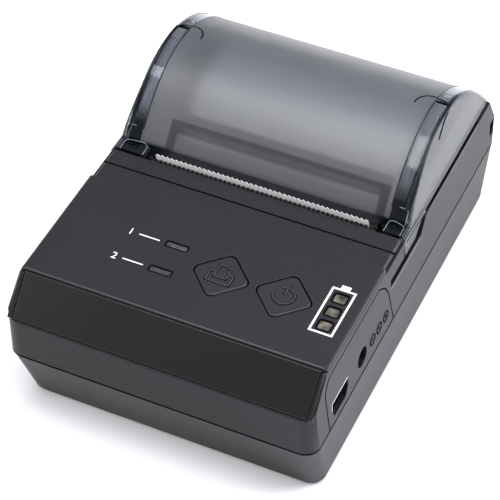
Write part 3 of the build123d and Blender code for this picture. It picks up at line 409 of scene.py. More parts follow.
def cover_finish():
    """Smoky clear plastic: frosted over the dome, polished bands, dark tabs, painted shade over
    the crown, toes and band feet.
    """
    material, tree, shader = new_material("smoky_cover")
    coords = object_coords(tree)
    x, y, z = split_coords(tree, coords)
    side = math_node(tree, "ABSOLUTE", x)
    dome = less(tree, side, DOME_HALF, FINE_FADE)
    low = less(tree, z, TAB_TOP, FINE_FADE)
    within = less(tree, side, BAND_HALF, EDGE_FADE)
    outside = flip(tree, within)
    # Painted shade: the toes and the lower foot of each band are painted near-black
    ahead = both(tree, less(tree, y, TOE_BACK, FINE_FADE), less(tree, z, TOE_TOP, FINE_FADE))
    foot = less(tree, z, FOOT_TOP, FOOT_FADE)
    band = both(tree, flip(tree, dome), within)
    shaded = math_node(tree, "MAXIMUM", ahead, both(tree, foot, band))
    toe = both(tree, shaded, within)
    tab = both(tree, low, outside)
    # Painted shade over the crown, above its start height
    crown = less(tree, z, CROWN_START, CROWN_FADE)
    rim = rim_mask(tree, x, y, z)
    stripe = both(tree, within, flip(tree, less(tree, side, STRIPE_START, STRIPE_FADE)))

    cloud = noise(tree, coords, CLOUD_SCALE)
    frost = math_node(tree, "MULTIPLY_ADD", cloud, DOME_ROUGHNESS[1], DOME_ROUGHNESS[0])
    polish = math_node(tree, "MULTIPLY_ADD", cloud, BAND_ROUGHNESS[1], BAND_ROUGHNESS[0])
    rough = blend_values(tree, dome, polish, frost)
    rough = blend_values(tree, tab, rough, TAB_ROUGHNESS)
    tree.links.new(rough, shader.inputs["Roughness"])
    shader.inputs["Transmission Weight"].default_value = COVER_TRANSMISSION
    shader.inputs["IOR"].default_value = CLEAR_IOR

    mottle = place_group(tree, MOTTLE, Colour=(*DOME_TINT, 1.0), Roughness=0.3, Spread=0.04,
                         Scale=40.0)
    tint = blend_colours(tree, crown, CROWN_SHADE_TINT, mottle.outputs["Colour"])
    tint = blend_colours(tree, rim, tint, RIM_TINT)
    tint = blend_colours(tree, dome, BAND_TINT, tint)
    for mask, colour in ((stripe, STRIPE_TINT), (outside, WALL_TINT), (tab, TAB_TINT),
                         (toe, TOE_SHADE_TINT)):
        tint = blend_colours(tree, mask, tint, colour)
    slant = tree.nodes.new("ShaderNodeLayerWeight")
    slant.inputs["Blend"].default_value = 0.5
    grazing = flip(tree, less(tree, slant.outputs["Facing"], SLANT_START, SLANT_FADE))
    tint = blend_colours(tree, grazing, tint, SLANT_TINT)
    tree.links.new(tint, shader.inputs["Base Color"])
    texture = place_group(tree, GRAIN, Scale=3000.0, Depth=0.15)
    add_bump(tree, shader, texture.outputs["Height"], COVER_GRAIN_HEIGHT)
    return material


def lens_finish(name, dark, chip_and_glint):
    """Dark window with light patches and a polished face: chips on the gauge, a painted reflection
    on the status lights.
    """
    material, tree, shader = new_material(name)
    coords = object_coords(tree)
    cloud = noise(tree, coords, 420.0, 2.0, 0.6)
    chip_and_glint_mask = less(tree, cloud, 0.5, 0.22)
    tree.links.new(blend_colours(tree, chip_and_glint_mask, chip_and_glint, dark), shader.inputs["Base Color"])
    tree.links.new(math_node(tree, "MULTIPLY_ADD", cloud, 0.2, 0.1), shader.inputs["Roughness"])
    shader.inputs["Coat Weight"].default_value = 0.5
    shader.inputs["Coat Roughness"].default_value = COAT_ROUGHNESS
    texture = place_group(tree, GRAIN, Scale=1200.0, Depth=0.4)
    add_bump(tree, shader, texture.outputs["Height"], GRAIN_HEIGHT)
    return material


def edge_finish(name, colour, rough, clearness):
    """Painted glint lines and ridges of the cover's plastic, which let little light through."""
    material, tree, shader = new_material(name)
    mottle = place_group(tree, MOTTLE, Colour=(*colour, 1.0), Roughness=rough, Spread=0.12,
                         Scale=70.0)
    tree.links.new(mottle.outputs["Colour"], shader.inputs["Base Color"])
    tree.links.new(mottle.outputs["Roughness"], shader.inputs["Roughness"])
    shader.inputs["Transmission Weight"].default_value = clearness
    shader.inputs["IOR"].default_value = CLEAR_IOR
    texture = place_group(tree, GRAIN, Scale=2500.0, Depth=0.3)
    add_bump(tree, shader, texture.outputs["Height"], FINE_GRAIN_HEIGHT)
    return material


def paper_finish(name, colour):
    """Uncoated thermal paper with faint fibres."""
    return finish_plastic(name, colour, 0.75, 0.05, 140.0, 1500.0, 0.8, specular=0.3)


# Axis of the paper roll behind the middle and above the floor, in metres
ROLL_AXIS = (0.0285, 0.028)
WINDING_RATE = 14000.0


def roll_finish():
    """Paper roll: plain round the outside, fine wound layers on its ends."""
    material, tree, shader = new_material("wound_paper")
    _, y, z = split_coords(tree, object_coords(tree))
    ahead = math_node(tree, "SUBTRACT", y, ROLL_AXIS[0])
    above = math_node(tree, "SUBTRACT", z, ROLL_AXIS[1])
    square = math_node(tree, "ADD", both(tree, ahead, ahead), both(tree, above, above))
    radius = math_node(tree, "SQRT", square)
    ring = math_node(tree, "SINE", both(tree, radius, WINDING_RATE))
    tone = math_node(tree, "MULTIPLY_ADD", ring, 0.03, 0.83)
    colour = tree.nodes.new("ShaderNodeCombineColor")
    tree.links.new(tone, colour.inputs["Red"])
    tree.links.new(tone, colour.inputs["Green"])
    tree.links.new(both(tree, tone, 0.98), colour.inputs["Blue"])
    tree.links.new(colour.outputs[0], shader.inputs["Base Color"])
    shader.inputs["Roughness"].default_value = 0.8
    add_bump(tree, shader, ring, FINE_GRAIN_HEIGHT)
    return material


# Colour, roughness, spread, mottle scale, grain scale, grain depth and softened radius
CASE_LOOK = ((0.0050, 0.0053, 0.0075), 0.42, 0.10, 50.0, 2400.0, 1.3, 0.00035)
CASE_SPECULAR = 0.24
# Colour of the painted highlight along the case's edges
CASE_EDGE_HIGHLIGHT = (0.04, 0.041, 0.047)
# Painted shadow blackens the rails above this height and behind this Y, in metres
RAIL_TOP = 0.0361
RAIL_START = 0.0088
RAIL_SHADOW_TINT = (0.002, 0.002, 0.003)
RAIL_ROUGHNESS = 0.9


def shade_rails(material):
    """Paint black shadow on the case's top rails beside the cover and round its hinge."""
    tree = material.node_tree
    shader = tree.nodes["Principled BSDF"]
    _, y, z = split_coords(tree, object_coords(tree))
    below = less(tree, z, RAIL_TOP, 0.00005)
    ahead = less(tree, y, RAIL_START, 0.0003)
    plain = math_node(tree, "MAXIMUM", below, ahead)
    tone = shader.inputs["Base Color"].links[0].from_socket
    rough = shader.inputs["Roughness"].links[0].from_socket
    tree.links.new(blend_colours(tree, plain, RAIL_SHADOW_TINT, tone), shader.inputs["Base Color"])
    tree.links.new(blend_values(tree, plain, RAIL_ROUGHNESS, rough), shader.inputs["Roughness"])
    shader.inputs["Specular IOR Level"].default_value = CASE_SPECULAR
    return material


FINISHES = {
    "case": finish_plastic("case_plastic", *CASE_LOOK, CASE_SPECULAR, edge_highlight=CASE_EDGE_HIGHLIGHT),
    # The upper case's plastic carries the painted rail shadow
    "upper": shade_rails(finish_plastic("upper_case_plastic", *CASE_LOOK, edge_highlight=CASE_EDGE_HIGHLIGHT)),
    # The panel, the glossy front and the buttons also get a painted highlight along their edges
    "panel": finish_plastic("panel_plastic", (0.0070, 0.0076, 0.0110), 0.50, 0.12, 50.0, 2400.0,
                            1.3, 0.00025, 0.42, edge_highlight=(0.045, 0.046, 0.05)),
    "gloss": finish_plastic("fascia_gloss", (0.0050, 0.0050, 0.0060), 0.30, 0.10, 30.0, 900.0, 0.1,
                            0.0003, edge_highlight=(0.03, 0.03, 0.034)),
    "button": finish_plastic("button_plastic", (0.0070, 0.0074, 0.0100), 0.50, 0.1, 60.0, 4500.0,
                             0.7, 0.0003, edge_highlight=(0.05, 0.051, 0.056)),
    "black": finish_plastic("black_plastic", (0.006, 0.006, 0.007), 0.55, 0.1, 60.0, 3500.0, 0.5),
    "holder": finish_plastic("holder_plastic", (0.02, 0.021, 0.024), 0.5, 0.1, 60.0, 3500.0, 0.5),
    # The status lights' light patches are a painted reflection
    "lens": lens_finish("light_lens", (0.003, 0.003, 0.004), (0.07, 0.072, 0.075)),
    "gauge": lens_finish("gauge_lens", (0.003, 0.003, 0.003), (0.17, 0.155, 0.135)),
    "paper": paper_finish("thermal_paper", (0.86, 0.86, 0.87)),
    "roll": roll_finish(),
    "card": finish_plastic("core_card", (0.42, 0.32, 0.21), 0.85, 0.2, 300.0, 1200.0, 0.8),
    "rubber": finish_plastic("black_rubber", (0.012, 0.012, 0.012), 0.7, 0.15, 120.0, 2500.0, 0.8),
    "steel": finish_plastic("satin_steel", (0.56, 0.56, 0.58), 0.3, 0.1, 200.0, 2500.0, 0.2,
                            metallic=1.0),
    "aluminium": finish_plastic("satin_aluminium", (0.66, 0.66, 0.68), 0.38, 0.1, 200.0, 2500.0,
                                0.3, metallic=1.0),
    # Painted glint on the socket's shell and the strap pin
    "bright": finish_plastic("painted_glint_metal", (0.85, 0.85, 0.86), 0.45, 0.1, 200.0, 2500.0, 0.2),
    "brass": finish_plastic("brass", (0.70, 0.52, 0.24), 0.32, 0.12, 200.0, 2500.0, 0.2,
                            metallic=1.0),
    "board": finish_plastic("board_green", (0.005, 0.035, 0.014), 0.3, 0.3, 700.0, 900.0, 0.4,
                            coat=0.3),
    "gear": finish_plastic("gear_nylon", (0.72, 0.71, 0.67), 0.45, 0.06, 80.0, 2500.0, 0.3),
    "ceramic": finish_plastic("head_ceramic", (0.30, 0.22, 0.16), 0.25, 0.2, 200.0, 1500.0, 0.2),
    "wrap": finish_plastic("battery_wrap", (0.02, 0.02, 0.024), 0.25, 0.2, 100.0, 700.0, 0.4),
    "ink": finish_plastic("white_ink", (0.80, 0.80, 0.80), 0.55, 0.05, 400.0, 3500.0, 0.4),
    "cover": cover_finish(),
    # Icon strokes painted lighter than the button as a highlight
    "icon": finish_plastic("icon_highlight_plastic", (0.035, 0.036, 0.040), 0.30, 0.08, 90.0, 3500.0, 0.4,
                           0.0001),
    # Painted highlight of the panel's edge beads
    "bead": finish_plastic("bead_highlight_plastic", (0.055, 0.056, 0.06), 0.4, 0.3, 200.0, 3500.0, 0.3),
    # Pale lips of the slots and edges of the rails: a painted highlight
    "lip": finish_plastic("painted_highlight_plastic", (0.20, 0.20, 0.22), 0.35, 0.1, 90.0, 3500.0, 0.3),
    # Black of joint lines and of painted shade in gaps, grooves and channels
    "seam_shade": finish_plastic("seam_shade_black", (0.003, 0.003, 0.004), 0.9, 0.1, 90.0, 3500.0, 0.2,
                           specular=0.0),
    # Dark of the band edges: painted shade of refraction at the cover's ribs
    "edge": finish_plastic("cover_refraction_shade", (0.006, 0.008, 0.014), 0.30, 0.10, 70.0, 2500.0, 0.3,
                           specular=0.25),
    # Painted glint lines on the cover
    "glint": edge_finish("cover_glint_line", (0.42, 0.45, 0.50), 0.15, 0.2),
    "ridge": edge_finish("cover_ridge", (0.13, 0.135, 0.155), 0.35, 0.1),
}

NODE_FINISH = {
    "base_shell": "case", "upper_case": "upper", "battery_door": "case", "port_panel": "case",
    "control_panel": "panel", "tear_bezel": "panel", "front_fascia": "gloss",
    "feed_button": "button", "power_button": "button", "cover_shell": "cover",
    "usb_socket": "steel", "power_jack": "black", "main_board": "board",
    "board_components": "black", "button_board": "board", "board_pillars": "black",
    "feed_switch": "black", "power_switch": "black", "indicator_leds": "lens",
    "error_light": "lens", "charge_light": "lens", "gauge_windows": "gauge",
    "mechanism_frame": "black", "head_pivot_pin": "steel", "idler_pin": "steel",
    "stepper_motor": "steel", "paper_sensor": "black", "paper_well": "black",
    "paper_web": "paper", "battery_pack": "wrap", "battery_contacts": "brass",
    "case_screws": "steel", "rubber_feet": "rubber", "hinge_pins": "steel",
    # The strap pin is painted bright as a glint of its steel
    "strap_pin": "bright", "head_springs": "steel", "platen_holder": "holder",
    "platen_bushes": "brass", "platen_rubber": "rubber", "platen_shaft": "steel",
    "platen_gear": "gear", "idler_gear": "gear", "motor_pinion": "brass",
    "print_head": "ceramic", "heat_sink": "aluminium", "paper_roll": "roll",
    "roll_core": "card",
}


def paint(obj, finish):
    """Give every material slot of a piece one finish."""
    if not obj.data.materials:
        obj.data.materials.append(FINISHES[finish])
    for place in range(len(obj.data.materials)):
        obj.data.materials[place] = FINISHES[finish]


def paint_nodes():
    """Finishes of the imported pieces."""
    for name, finish in NODE_FINISH.items():
        paint(nodes[name], finish)


# New pieces

def clear_selection():
    """Nothing selected, so that operators act on the new piece alone."""
    bpy.ops.object.select_all(action="DESELECT")


def select_only(obj):
    """Make one object the only selected one and the active one."""
    clear_selection()
    obj.select_set(True)
    bpy.context.view_layer.objects.active = obj


def settle(obj, name, body, finish, smooth=35.0):
    """Apply the place, name the piece, shade it and set it on its body."""
    select_only(obj)
    bpy.ops.object.transform_apply(location=True, rotation=True, scale=True)
    bpy.ops.object.shade_smooth_by_angle(angle=radians(smooth))
    obj.name = name
    obj.data.name = name
    paint(obj, finish)
    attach(obj, body)


def apply_modifiers(obj):
    """Apply every modifier of a piece in order."""
    select_only(obj)
    for name in [modifier.name for modifier in obj.modifiers]:
        bpy.ops.object.modifier_apply(modifier=name)


def add_bar(low, high, bevel=0.0, segments=2):
    """Bar between two corners in millimetres, its edges bevelled."""
    clear_selection()
    middle = [(a + b) / 2 * MM for a, b in zip(low, high)]
    size = [abs(b - a) * MM for a, b in zip(low, high)]
    bpy.ops.mesh.primitive_cube_add(size=1.0, location=middle, scale=size)
    obj = bpy.context.object
    bpy.ops.object.transform_apply(location=False, rotation=False, scale=True)
    if bevel:
        bpy.ops.object.mode_set(mode="EDIT")
        bpy.ops.mesh.select_all(action="SELECT")
        bpy.ops.mesh.bevel(offset=bevel * MM, segments=segments, affect="EDGES")
        bpy.ops.object.mode_set(mode="OBJECT")
    return obj


def join(objects):
    """Join several new meshes into the first."""
    clear_selection()
    for obj in objects:
        obj.select_set(True)
    bpy.context.view_layer.objects.active = objects[0]
    if len(objects) > 1:
        bpy.ops.object.join()
    return bpy.context.object


def add_plane(size, place=(0, 0, 0)):
    """Flat rectangle of a size in millimetres."""
    clear_selection()
    bpy.ops.mesh.primitive_plane_add(size=1.0, location=place)
    obj = bpy.context.object
    obj.scale = (size[0] * MM, size[1] * MM, 1.0)
    bpy.ops.object.transform_apply(location=False, rotation=False, scale=True)
    return obj


def face_outwards():
    """Turn all faces of the edited mesh outwards and leave edit mode."""
    bpy.ops.mesh.select_all(action="SELECT")
    bpy.ops.mesh.normals_make_consistent(inside=False)
    bpy.ops.object.mode_set(mode="OBJECT")


def raise_border(width, height):
    """Keep a border of the edited flat mesh, give it a height and leave edit mode."""
    bpy.ops.mesh.select_all(action="SELECT")
    bpy.ops.mesh.inset(thickness=width * MM, depth=0.0)
    bpy.ops.mesh.delete(type="FACE")
    bpy.ops.mesh.select_all(action="SELECT")
    bpy.ops.mesh.extrude_region_move(TRANSFORM_OT_translate={"value": (0, 0, height * MM)})
    face_outwards()


def span(start, end):
    """Length, direction and middle of the straight run between two flat points."""
    length = ((end[0] - start[0]) ** 2 + (end[1] - start[1]) ** 2) ** 0.5
    turn = atan2(end[1] - start[1], end[0] - start[0])
    return length, turn, ((start[0] + end[0]) / 2, (start[1] + end[1]) / 2)


# Places and sizes of the printed marks and the icons, in millimetres
PANEL_TOP = 41.2
INK_HEIGHT = 0.05
GAUGE_MIDDLE = (33.15, -35.1)
GAUGE_SIZE = (6.1, 15.0)
GAUGE_LINE = 0.5
NUMERAL_X = -21.0
NUMERAL_HEIGHT = 2.1
LEADER_X = (-18.8, -13.4)
LEADER_HALF = 0.16
LIGHT_MARKS = (("first_light_mark", "1", -30.9), ("second_light_mark", "2", -39.8))
LIGHTS = ((-8.8, -30.9), (-8.8, -39.85))
LIGHT_SIZE = (6.1, 2.2)
WINDOWS_MIDDLE = (33.25, -35.25)
WINDOW_PITCH = 4.6
WINDOW_SIZE = (3.9, 3.6)


def add_gauge_outline():
    """White battery outline printed round the three charge windows."""
    obj = add_plane(GAUGE_SIZE, (GAUGE_MIDDLE[0] * MM, GAUGE_MIDDLE[1] * MM, PANEL_TOP * MM))
    bpy.ops.object.mode_set(mode="EDIT")
    raise_border(GAUGE_LINE, INK_HEIGHT)
    nub = add_bar((32.05, -27.6, PANEL_TOP), (34.35, -26.35, PANEL_TOP + INK_HEIGHT))
    settle(join([obj, nub]), "gauge_outline", "housing", "ink")


def add_numeral(text, place, height):
    """Plain numeral printed on the panel beside a status light."""
    clear_selection()
    bpy.ops.object.text_add(location=(place[0] * MM, place[1] * MM, PANEL_TOP * MM))
    obj = bpy.context.object
    obj.data.body = text
    obj.data.size = height * 1.4 * MM
    obj.data.extrude = INK_HEIGHT / 2 * MM
    obj.data.align_x = "CENTER"
    obj.data.align_y = "CENTER"
    obj.data.resolution_u = 4
    bpy.ops.object.convert(target="MESH")
    return bpy.context.object


def add_light_marks():
    """Numeral and leader line ahead of each status light."""
    for name, number, y in LIGHT_MARKS:
        numeral = add_numeral(number, (NUMERAL_X, y), NUMERAL_HEIGHT)
        leader = add_bar((LEADER_X[0], y - LEADER_HALF, PANEL_TOP),
                         (LEADER_X[1], y + LEADER_HALF, PANEL_TOP + INK_HEIGHT))
        settle(join([numeral, leader]), name, "housing", "ink")


def add_arc(radius, width, height, start, sweep, steps=48):
    """Flat ring, or part of one, spun round the origin in its own plane."""
    obj = add_plane((width, height))
    turn = Matrix.Rotation(radians(start), 4, "Z") @ Matrix.Translation((radius * MM, 0, 0))
    obj.matrix_world = turn @ Matrix.Rotation(radians(90), 4, "X")
    bpy.ops.object.transform_apply(location=True, rotation=True, scale=True)
    bpy.ops.object.mode_set(mode="EDIT")
    bpy.ops.mesh.select_all(action="SELECT")
    bpy.ops.mesh.spin(steps=steps, angle=radians(sweep), center=(0, 0, 0), axis=(0, 0, 1))
    if sweep >= 360:
        bpy.ops.mesh.select_all(action="SELECT")
        bpy.ops.mesh.remove_doubles(threshold=1e-7)
        bpy.ops.mesh.select_all(action="DESELECT")
        bpy.ops.mesh.select_interior_faces()
        bpy.ops.mesh.delete(type="FACE")
    face_outwards()
    return obj


def add_stroke(start, end, width, low, high):
    """Raised line between two points of the panel, with rounded corners."""
    length, turn, middle = span(start, end)
    reach = length / 2 + width / 2
    bar = add_bar((-reach, -width / 2, low), (reach, width / 2, high), 0.06)
    place = (middle[0] * MM, middle[1] * MM, bar.location.z)
    bar.matrix_world = Matrix.Translation(place) @ Matrix.Rotation(turn, 4, "Z")
    return bar


BUTTON_TOP = 41.3
ICON_ROOT = 0.1
POWER_RING = (21.0, -35.35)
POWER_RADIUS = 2.6
# Start and sweep of the broken ring in degrees, and both ends of its stem
POWER_ARC = (122.0, 296.0)
POWER_STEM = (-31.7, -34.5)
# Name, line width, rise over the button and finish
# The raised icon is painted light as a highlight, the wider layer under it black as its shade
ICON_LAYERS = (("icon", 0.36, 0.2, "icon"), ("icon_shadow", 0.75, 0.03, "seam_shade"))


def add_power_icon():
    """Broken ring and stem raised on the right button, painted light as a highlight, over a border
    painted as their shade.
    """
    for word, width, rise, finish in ICON_LAYERS:
        low, high = BUTTON_TOP - ICON_ROOT, BUTTON_TOP + rise
        ring = add_arc(POWER_RADIUS, width, high - low, *POWER_ARC)
        ring.location = (POWER_RING[0] * MM, POWER_RING[1] * MM, (low + high) / 2 * MM)
        ends = [(POWER_RING[0], y) for y in POWER_STEM]
        stem = add_stroke(*ends, width, low, high)
        settle(join([ring, stem]), f"power_{word}", "power_key", finish)


def add_feed_icon():
    """Sheet over a tray raised on the left button, painted light as a highlight, over a border
    painted as their shade.
    """
    tray = [(3.3, -34.7), (1.9, -34.7), (1.9, -37.9), (7.8, -37.9), (7.8, -34.7), (6.4, -34.7)]
    sheet = [(3.3, -36.2), (3.3, -32.2), (5.4, -32.2), (6.4, -33.2), (6.4, -36.2), (3.3, -36.2)]
    for word, width, rise, finish in ICON_LAYERS:
        strokes = []
        for corners in (tray, sheet):
            for start, end in zip(corners, corners[1:]):
                strokes.append(add_stroke(start, end, width, BUTTON_TOP - ICON_ROOT,
                                          BUTTON_TOP + rise))
        settle(join(strokes), f"feed_{word}", "feed_key", finish)


# Lean of the side wall in degrees, and its half width at a height, in millimetres
SIDE_LEAN = 2.6
SIDE_HALF = 40.25
SIDE_HALF_HEIGHT = 20.0


def side_frame(y, z, out=0.0):
    """Placement on the right side wall: X runs back, Y up the wall and Z out of it."""
    lean = radians(SIDE_LEAN)
    out_axis = Vector((cos(lean), 0.0, sin(lean)))
    up_axis = Vector((-sin(lean), 0.0, cos(lean)))
    x = SIDE_HALF - (z - SIDE_HALF_HEIGHT) * tan(lean)
    turn = Matrix((Vector((0.0, 1.0, 0.0)), up_axis, out_axis)).transposed().to_4x4()
    place = Vector((x, y, z)) * MM + out_axis * out * MM
    return Matrix.Translation(place) @ turn


def add_polarity_marks():
    """Three small moulded rings beside the power jack, raised and painted black as the shade of
    engraved lines.
    """
    rise = 0.1
    half_depth = 0.12
    parts = []
    for place, (y, z) in enumerate(((-25.7, 25.4), (-21.6, 25.5), (-17.4, 25.5))):
        ring = add_arc(1.45, 0.3, 2 * half_depth, 0.0, 360.0, 32)
        ring.matrix_world = side_frame(y, z, rise - half_depth)
        parts.append(ring)
        marks = {0: [(1.0, 0.22)], 1: [(0.5, 0.5)], 2: [(1.0, 0.22), (0.22, 1.0)]}[place]
        for width, height in marks:
            mark = add_bar((-width / 2, -height / 2, -half_depth),
                           (width / 2, height / 2, half_depth), 0.04)
            mark.matrix_world = side_frame(y, z, rise - half_depth)
            parts.append(mark)
    settle(join(parts), "polarity_marks", "housing", "seam_shade")


def add_frame(middle, size, width, corner, low, high, steps=4):
    """Thin rounded frame between two heights."""
    obj = add_plane(size)
    bpy.ops.object.mode_set(mode="EDIT")
    bpy.ops.mesh.select_all(action="SELECT")
    bpy.ops.mesh.bevel(offset=corner * MM, segments=steps, affect="VERTICES")
    raise_border(width, high - low)
    obj.location = (middle[0] * MM, middle[1] * MM, low * MM)
    return obj


def add_light_rims():
    """Black rims round the status lights and the charge windows, painted shade of the gap round
    each.
    """
    low, high = PANEL_TOP - 0.1, PANEL_TOP + 0.05
    frames = [add_frame(middle, LIGHT_SIZE, 0.3, 0.5, low, high) for middle in LIGHTS]
    for step in (-1, 0, 1):
        middle = (WINDOWS_MIDDLE[0], WINDOWS_MIDDLE[1] + step * WINDOW_PITCH)
        frames.append(add_frame(middle, WINDOW_SIZE, 0.4, 0.7, low, high))
    settle(join(frames), "light_rims", "housing", "seam_shade")


def add_edge_beads():
    """Painted highlight line along the front and right edges of the top panel."""
    front = add_bar((-38.3, -52.05, 40.95), (38.3, -51.8, 41.23), 0.08)
    side = add_bar((39.05, -51.8, 40.9), (39.22, -17.4, 41.22), 0.06)
    settle(join([front, side]), "panel_edge_beads", "housing", "bead")


def add_tear_teeth():
    """Row of small teeth standing along the tear edge, ahead of the paper."""
    pitch = 1.25
    count = 48
    tip = (0.12, 0.5, 1.0)
    tooth = add_bar((-28.9, -5.3, 40.1), (-27.75, -5.0, 41.0))
    bpy.ops.object.mode_set(mode="EDIT")
    bpy.ops.mesh.select_mode(type="FACE")
    bpy.ops.mesh.select_all(action="DESELECT")
    bpy.ops.object.mode_set(mode="OBJECT")
    for face in tooth.data.polygons:
        face.select = face.normal.z > 0.9
    bpy.ops.object.mode_set(mode="EDIT")
    bpy.ops.transform.resize(value=tip)
    bpy.ops.object.mode_set(mode="OBJECT")
    row = tooth.modifiers.new("row", "ARRAY")
    row.count = count
    row.use_relative_offset = False
    row.use_constant_offset = True
    row.constant_offset_displace = (pitch * MM, 0.0, 0.0)
    apply_modifiers(tooth)
    settle(tooth, "tear_teeth", "housing", "panel")


def add_side_line(points, thick, rise):
    """Thin line along the right side wall through (y, z) points."""
    half_depth = 0.15
    strokes = []
    for start, end in zip(points, points[1:]):
        length, turn, middle = span(start, end)
        bar = add_bar((-length / 2, -thick / 2, -half_depth), (length / 2, thick / 2, half_depth),
                      0.04)
        spin = Matrix.Rotation(turn, 4, "Z")
        bar.matrix_world = side_frame(*middle, rise - half_depth) @ spin
        strokes.append(bar)
    return strokes


def add_slot_lips():
    """Fine raised lips under both finger slots, painted pale as a highlight."""
    start = -14.3
    half_turn = Matrix.Rotation(radians(180), 4, "Z")
    for side, word in SIDES:
        lips = add_side_line([(start, 31.75), (5.2, 31.75)], 0.16, 0.06)
        lips += add_side_line([(start, 31.2), (4.6, 31.2)], 0.14, 0.05)
        if side < 0:
            for bar in lips:
                shift = Matrix.Translation((0, 2 * -bar.location.y, 0))
                bar.matrix_world = half_turn @ shift @ bar.matrix_world
        settle(join(lips), f"{word}_slot_lip", "housing", "lip")


# Outline of the port panel on the right wall, by Y and Z in millimetres
PORT_LINE = ((-51.9, 20.2), (-54.0, 34.3), (-53.7, 35.4), (-52.7, 37.0), (-51.8, 37.8),
             (-50.4, 38.2), (-22.0, 38.2), (-20.9, 37.8), (-18.2, 35.7), (-17.4, 34.8),
             (-15.9, 32.2), (-15.5, 31.2), (-12.4, 20.2))


def add_seam_lines():
    """Black shadow lines: case joint, port panel, right tab, bezel and the gap at each toe."""
    outline, corner = (80.54, 122.04), 4.0
    parts = [add_frame((0.0, 0.0), outline, 0.5, corner, 19.74, 20.24, 14)]
    parts += add_side_line(PORT_LINE, 0.36, 0.03)
    parts += add_side_line([(-5.38, 34.8), (-5.38, 40.1)], 0.3, 0.02)
    parts.append(add_bar((-38.9, -11.0, 40.2), (38.9, -10.5, 40.34)))
    for side, _ in SIDES:
        ends = sorted((side * 30.8, side * 38.7))
        parts.append(add_bar((ends[0], -5.1, 40.1), (ends[1], -4.8, 40.36)))
    settle(join(parts), "seam_lines", "housing", "seam_shade")


def add_socket_rim():
    """End of the metal shell inside the data socket's opening, painted bright as a glint."""
    rim = add_side_line([(-50.2, 27.68), (-40.8, 27.68)], 0.24, 0.03)
    rim += add_side_line([(-50.25, 27.6), (-50.25, 25.0)], 0.2, 0.03)
    settle(join(rim), "socket_rim", "housing", "bright")


def cover_hit(start, direction):
    """Point of the cover's outside met first from a start point, or None where it is missed."""
    found, place, _, _ = nodes["cover_shell"].ray_cast(Vector(start) * MM, Vector(direction))
    return place / MM if found else None


def cover_top(x, y):
    """Point of the cover straight below a place above it."""
    return cover_hit((x, y, 70.0), (0, 0, -1))


def cover_side(side, y, z):
    """Point of the cover straight in from a place beside it."""
    return cover_hit((side * 60.0, y, z), (-side, 0, 0))


def cover_front(x, z):
    """Point of the cover straight back from a place ahead of it."""
    return cover_hit((x, -20.0, z), (0, 1, 0))


def add_line_on_cover(name, points, thick, finish):
    """Thin round line through points on the cover, missed points left out."""
    points = [point for point in points if point is not None]
    data = bpy.data.curves.new(name, "CURVE")
    data.dimensions = "3D"
    data.bevel_depth = thick * MM
    data.bevel_resolution = 2
    data.use_fill_caps = True
    spline = data.splines.new("POLY")
    spline.points.add(len(points) - 1)
    for point, place in zip(spline.points, points):
        point.co = (*(Vector(place) * MM), 1.0)
    obj = bpy.data.objects.new(name, data)
    bpy.context.scene.collection.objects.link(obj)
    select_only(obj)
    bpy.ops.object.convert(target="MESH")
    settle(bpy.context.object, name, "cover", finish, 60.0)


def smooth_run(corners, steps):
    """Points of a smooth run through corner points."""
    run_points = []
    last = len(corners) - 1
    for index in range(last):
        before = Vector(corners[max(index - 1, 0)])
        start = Vector(corners[index])
        end = Vector(corners[index + 1])
        after = Vector(corners[min(index + 2, last)])
        for step in range(steps):
            t = step / steps
            run_points.append(0.5 * (2 * start + (end - before) * t
                              + (2 * before - 5 * start + 4 * end - after) * t * t
                              + (3 * start - before - 3 * end + after) * t * t * t))
    run_points.append(Vector(corners[-1]))
    return run_points


def flat_run(corners, steps):
    """Points of a smooth run through corners that are given by two numbers."""
    return smooth_run([(*corner, 0.0) for corner in corners], steps)


def add_cover_joints():
    """Black joint line across each clear band and round onto the side wall."""
    over = [(29.0, 24.8), (29.2, 26.6), (30.4, 28.6), (32.2, 29.4), (34.0, 29.0), (36.4, 28.4)]
    down = [(28.4, 56.2), (27.6, 55.2), (25.4, 54.6), (23.0, 53.6), (21.2, 52.4), (19.6, 51.4)]
    for side, word in SIDES:
        top = [cover_top(side * p.x, p.y) for p in flat_run(over, 8)]
        wall = [cover_side(side, p.x, p.y) for p in flat_run(down, 8)]
        add_line_on_cover(f"{word}_joint", top + wall, 0.18, "seam_shade")


def add_band_edges():
    """Raised edges along both clear bands of the cover, painted dark as the shade of refraction at
    these ribs.
    """
    band_start, band_end, band_steps = 0.6, 28.3, 48
    crown_start, crown_end, crown_steps = 28.9, 46.0, 32
    crowding = 1.25
    for side, word in SIDES:
        for x, mark, thick in ((33.35, "inner", 0.17), (37.15, "outer", 0.34)):
            points = []
            for step in range(band_steps + 1):
                y = band_start + (band_end - band_start) * (step / band_steps) ** crowding
                points.append(cover_top(side * x, y))
            add_line_on_cover(f"{word}_{mark}_band_edge", points, thick, "edge")
            points = []
            for step in range(crown_steps + 1):
                y = crown_start + (crown_end - crown_start) * step / crown_steps
                points.append(cover_top(side * x, y))
            add_line_on_cover(f"{word}_{mark}_crown_edge", points, 0.13, "edge")


